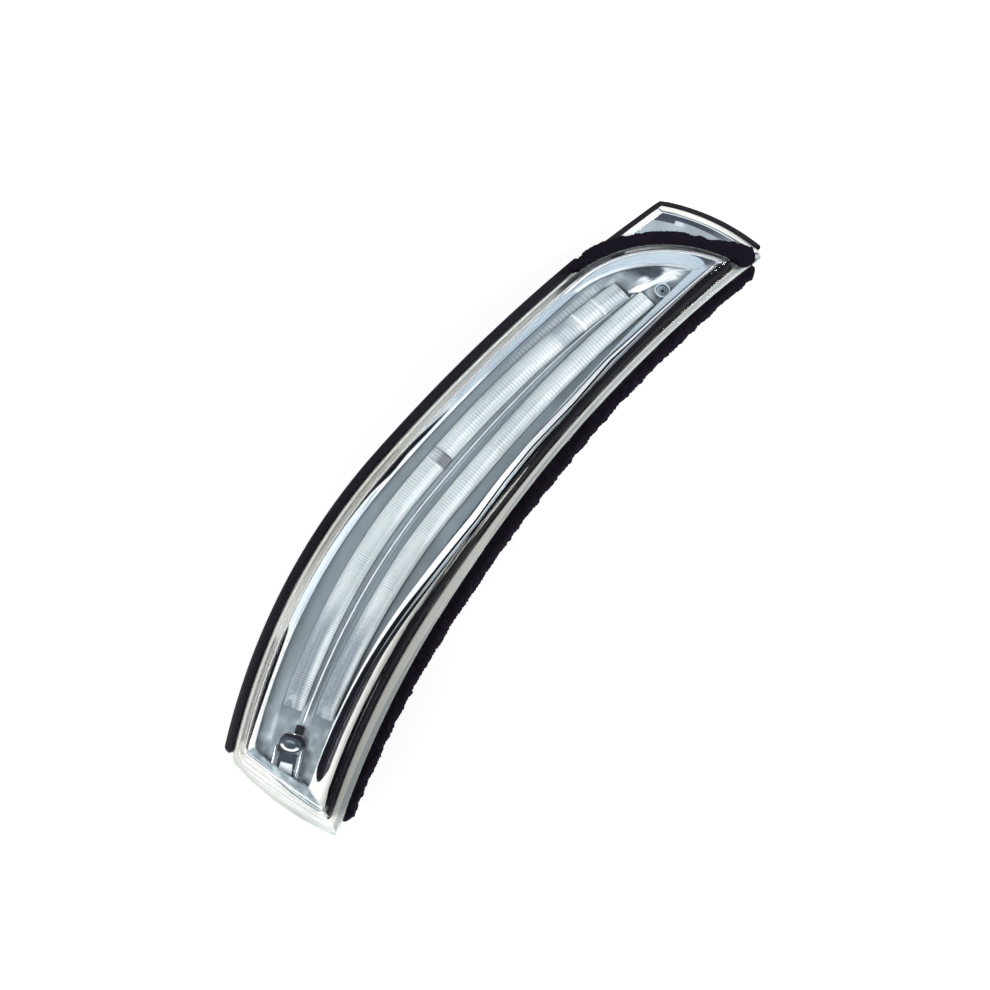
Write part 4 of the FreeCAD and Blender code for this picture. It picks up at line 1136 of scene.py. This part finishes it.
class LAMP_OT_flat(bpy.types.Operator):
    """Underlay beneath the three-cornered flat, with its dark window: its grey-blue is painted shade, the
    shaded floor seen through the clear flat
    """
    bl_idname = "lamp.flat"
    bl_label = "Flat shaded underlay"

    def execute(self, context):
        w = np.linspace(0, 1, 340)
        tip, apex, turn = plan(*FLANGE_TIP), plan(*FLAT_APEX), plan(*FLANGE_TURN)
        arc, centre = arc_through(tip, (tip + apex) / 2 + outward_of(tip, apex) * FLAT_BULGE, apex, 1 - w)
        outer = np.concatenate([turn + (apex - turn) * w[:, None], arc[1:]])
        inner = window_nose(np.linspace(0, 1, len(outer)))
        v = np.linspace(0.0, 0.97, 138)[None, :, None]
        points = inner[:, None] * (1 - v) + outer[:, None] * v
        station, inset = unplan(points)
        nose = np.abs(np.hypot(*(apex - centre)) - np.hypot(*(points - centre).transpose(2, 0, 1)))
        front = inset - (FLANGE_TURN[1] + 0.8 * (station - FLANGE_TURN[0]) / 38.2)
        run = (station - FLAT_APEX[0]) * 0.47 + (inset - FLAT_APEX[1]) * 0.88
        dark = (1 - step(4.8, 4.95, nose)) * (1 - step(5.2, 5.35, run)) * step(1.6, 1.7, front)
        shadow = (1 - step(3.4 + run / 40, 3.6 + run / 40, nose)) * (1 - step(14.0, 24.0, run) * 0.5)
        # Painted shade: the grey-blue base stands in for the shaded floor seen through the clear flat, and
        # the shadow layer is a painted shadow along the nose.
        paint = painted(
            SATIN,
            (0.6 * step(-0.3, 0.5, noise(17, station / 6.0, inset / 6.0)), SKY),
            (0.6 * band(run, 5.4, 8.0, 0.8) * band(nose, 3.7, 5.2, 0.3), PALE),
            (shadow, SLATE),
            (dark, SLATE),
            (1 - step(1.35, 1.45, front), CREAM),
            (band(front, 0.75, 0.85, 0.04) * 0.6, SLATE),
            *[(1 - step(edge, edge + 0.1, nose), colour)
              for edge, colour in ((1.75, PALE), (1.45, SLATE), (1.2, CREAM))],
            (1 - step(0.1, 0.2, np.minimum(nose, front)), SLATE))
        skin("flat_shaded_underlay", on_bow(points, -FLANGE - 0.02 + 0 * nose), "liner", paint)
        return {"FINISHED"}


class LAMP_OT_solids(bpy.types.Operator):
    """Finishes of the solids that show as they are: housing, boards, connector and small parts"""
    bl_idname = "lamp.solids"
    bl_label = "Finishes"

    def execute(self, context):
        for node, material in {
                "rear_housing": "housing", "turn_board": "white_board", "side_board": "white_board",
                "driver_board": "green_board", "turn_light_chips": "light", "side_light_chip": "light",
                "driver_chip": "chip", "board_resistors": "chip", "board_screws": "zinc",
                "flex_strips": "film", "connector_shell": "housing", "connector_blades": "brass",
                "connector_seal": "rubber", "breather_patch": "vent"}.items():
            dress(node, material)
        return {"FINISHED"}


# Camera: its direction from the lamp, and the width of the picture and its middle's shift there, in metres
VIEW = (-0.13, -0.176, 1)
PICTURE_WIDTH = 0.2871
PICTURE_SHIFT = (0.02935, -0.01905)
SENSOR_WIDTH = 36.0
FLOOR_GLOW = 0.42
# Lamps: place and size, in metres
LAMPS = (("softbox", (-0.95, 0.85, 0.85), 0.8), ("strip", (0.9, -0.75, 0.7), 0.35))


def make_floor(scene):
    """Pale floor that keeps its shadows, a little brighter to the camera and in metal and glass."""
    mesh = bpy.data.meshes.new("floor")
    mesh.from_pydata([(-6, -6, 0), (6, -6, 0), (6, 6, 0), (-6, 6, 0)], [], [(0, 1, 2, 3)])
    floor = bpy.data.objects.new("floor", mesh)
    scene.collection.objects.link(floor)
    material, tree, shader = shaded("Floor", {"Base Color": (0.93, 0.93, 0.93, 1), "Roughness": 0.9,
                                              "Emission Color": (1, 1, 1, 1)})
    path = add(tree, "LightPath").outputs
    clear = add(tree, "Math", {0: path["Is Glossy Ray"], 1: path["Is Transmission Ray"]}, operation="MAXIMUM")
    seen = add(tree, "Math", {0: path["Is Camera Ray"], 1: clear.outputs[0]}, operation="MAXIMUM")
    glow = add(tree, "Math", {0: seen.outputs[0], 1: FLOOR_GLOW}, operation="MULTIPLY")
    tree.links.new(glow.outputs[0], shader.inputs["Emission Strength"])
    mesh.materials.append(material)
    floor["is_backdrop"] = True


def make_lights(scene, power):
    """White world that dims overhead, a softbox past the leading side and a smaller lamp past the other."""
    scene.world = world = bpy.data.worlds.new("Studio")
    world.use_nodes = True
    tree = world.node_tree
    background = tree.nodes["Background"]
    background.inputs["Color"].default_value = (1, 1, 1, 1)
    place = add(tree, "TexCoord").outputs["Generated"]
    height = add(tree, "SeparateXYZ", {0: place}).outputs["Z"]
    level = add(tree, "MapRange", {"Value": height, "From Min": 0.45, "From Max": 0.85, "To Min": 0.95,
                                   "To Max": 0.12})
    tree.links.new(level.outputs["Result"], background.inputs["Strength"])
    for name, place, size in LAMPS:
        light = bpy.data.lights.new(name, "AREA")
        light.energy = power
        light.size = size
        lamp = bpy.data.objects.new(name, light)
        lamp.location = place
        lamp.rotation_euler = (-Vector(place)).to_track_quat("-Z", "Y").to_euler()
        scene.collection.objects.link(lamp)
        lamp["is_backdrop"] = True


class LAMP_OT_stage(bpy.types.Operator):
    """Floor, lights and camera"""
    bl_idname = "lamp.stage"
    bl_label = "Stage"

    def execute(self, context):
        scene = context.scene
        settings = scene.lamp_stage
        make_floor(scene)
        make_lights(scene, settings.power)
        out = Vector(VIEW).normalized()
        along = (Vector((1, 0, 0)) - out * out.x).normalized()
        across = out.cross(along)
        right = along * math.cos(settings.turn) - across * math.sin(settings.turn)
        up = along * math.sin(settings.turn) + across * math.cos(settings.turn)
        target = Vector((0, EDGE_Y, BOW_TOP)) * MM + right * PICTURE_SHIFT[0] + up * PICTURE_SHIFT[1]
        camera = bpy.data.objects.new("camera", bpy.data.cameras.new("camera"))
        turned = Matrix((right, up, out)).transposed().to_4x4()
        camera.matrix_world = Matrix.Translation(target + out * settings.distance) @ turned
        camera.data.lens = SENSOR_WIDTH * settings.distance / PICTURE_WIDTH
        camera.data.sensor_width = SENSOR_WIDTH
        camera.data.clip_start = 0.05
        scene.collection.objects.link(camera)
        scene.camera = camera
        scene.view_settings.view_transform = "Standard"
        return {"FINISHED"}


class LAMP_PT_panel(bpy.types.Panel):
    bl_label = "Mirror turn signal lamp"
    bl_idname = "LAMP_PT_panel"
    bl_space_type = "VIEW_3D"
    bl_region_type = "UI"
    bl_category = "Lamp"

    def draw(self, context):
        scene = context.scene
        for group in (scene.lamp_lens, scene.lamp_guides, scene.lamp_foam, scene.lamp_stage):
            box = self.layout.box()
            for name in group.bl_rna.properties.keys():
                if name not in ("rna_type", "name"):
                    box.prop(group, name)
        for operator in OPERATORS:
            self.layout.operator(operator.bl_idname)


SETTINGS = {"lamp_lens": LampLensSettings, "lamp_guides": LampGuideSettings, "lamp_foam": LampFoamSettings,
            "lamp_stage": LampStageSettings}
OPERATORS = (LAMP_OT_solids, LAMP_OT_liner, LAMP_OT_reflector, LAMP_OT_guides, LAMP_OT_nose_details,
             LAMP_OT_side_lamp, LAMP_OT_flat, LAMP_OT_lens, LAMP_OT_seal, LAMP_OT_foam, LAMP_OT_stage)
CLASSES = (*SETTINGS.values(), *OPERATORS, LAMP_PT_panel)


def register():
    for kind in CLASSES:
        bpy.utils.register_class(kind)
    for name, group in SETTINGS.items():
        setattr(bpy.types.Scene, name, PointerProperty(type=group))


def unregister():
    for name in SETTINGS:
        delattr(bpy.types.Scene, name)
    for kind in reversed(CLASSES):
        bpy.utils.unregister_class(kind)


def corners():
    """The least and the greatest corner of what shows, in metres."""
    return [list(corner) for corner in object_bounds()]


def main():
    """Builds the looks piece by piece."""
    register()
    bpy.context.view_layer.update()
    make_materials()
    bpy.ops.lamp.solids()
    bpy.ops.lamp.liner()
    bpy.ops.lamp.reflector()
    bpy.ops.lamp.guides()
    bpy.ops.lamp.nose_details()
    bpy.ops.lamp.side_lamp()
    bpy.ops.lamp.flat()
    bpy.ops.lamp.lens()
    bpy.ops.lamp.seal()
    bpy.ops.lamp.foam()
    bpy.ops.lamp.stage()


if __name__ == "__main__":
    main()
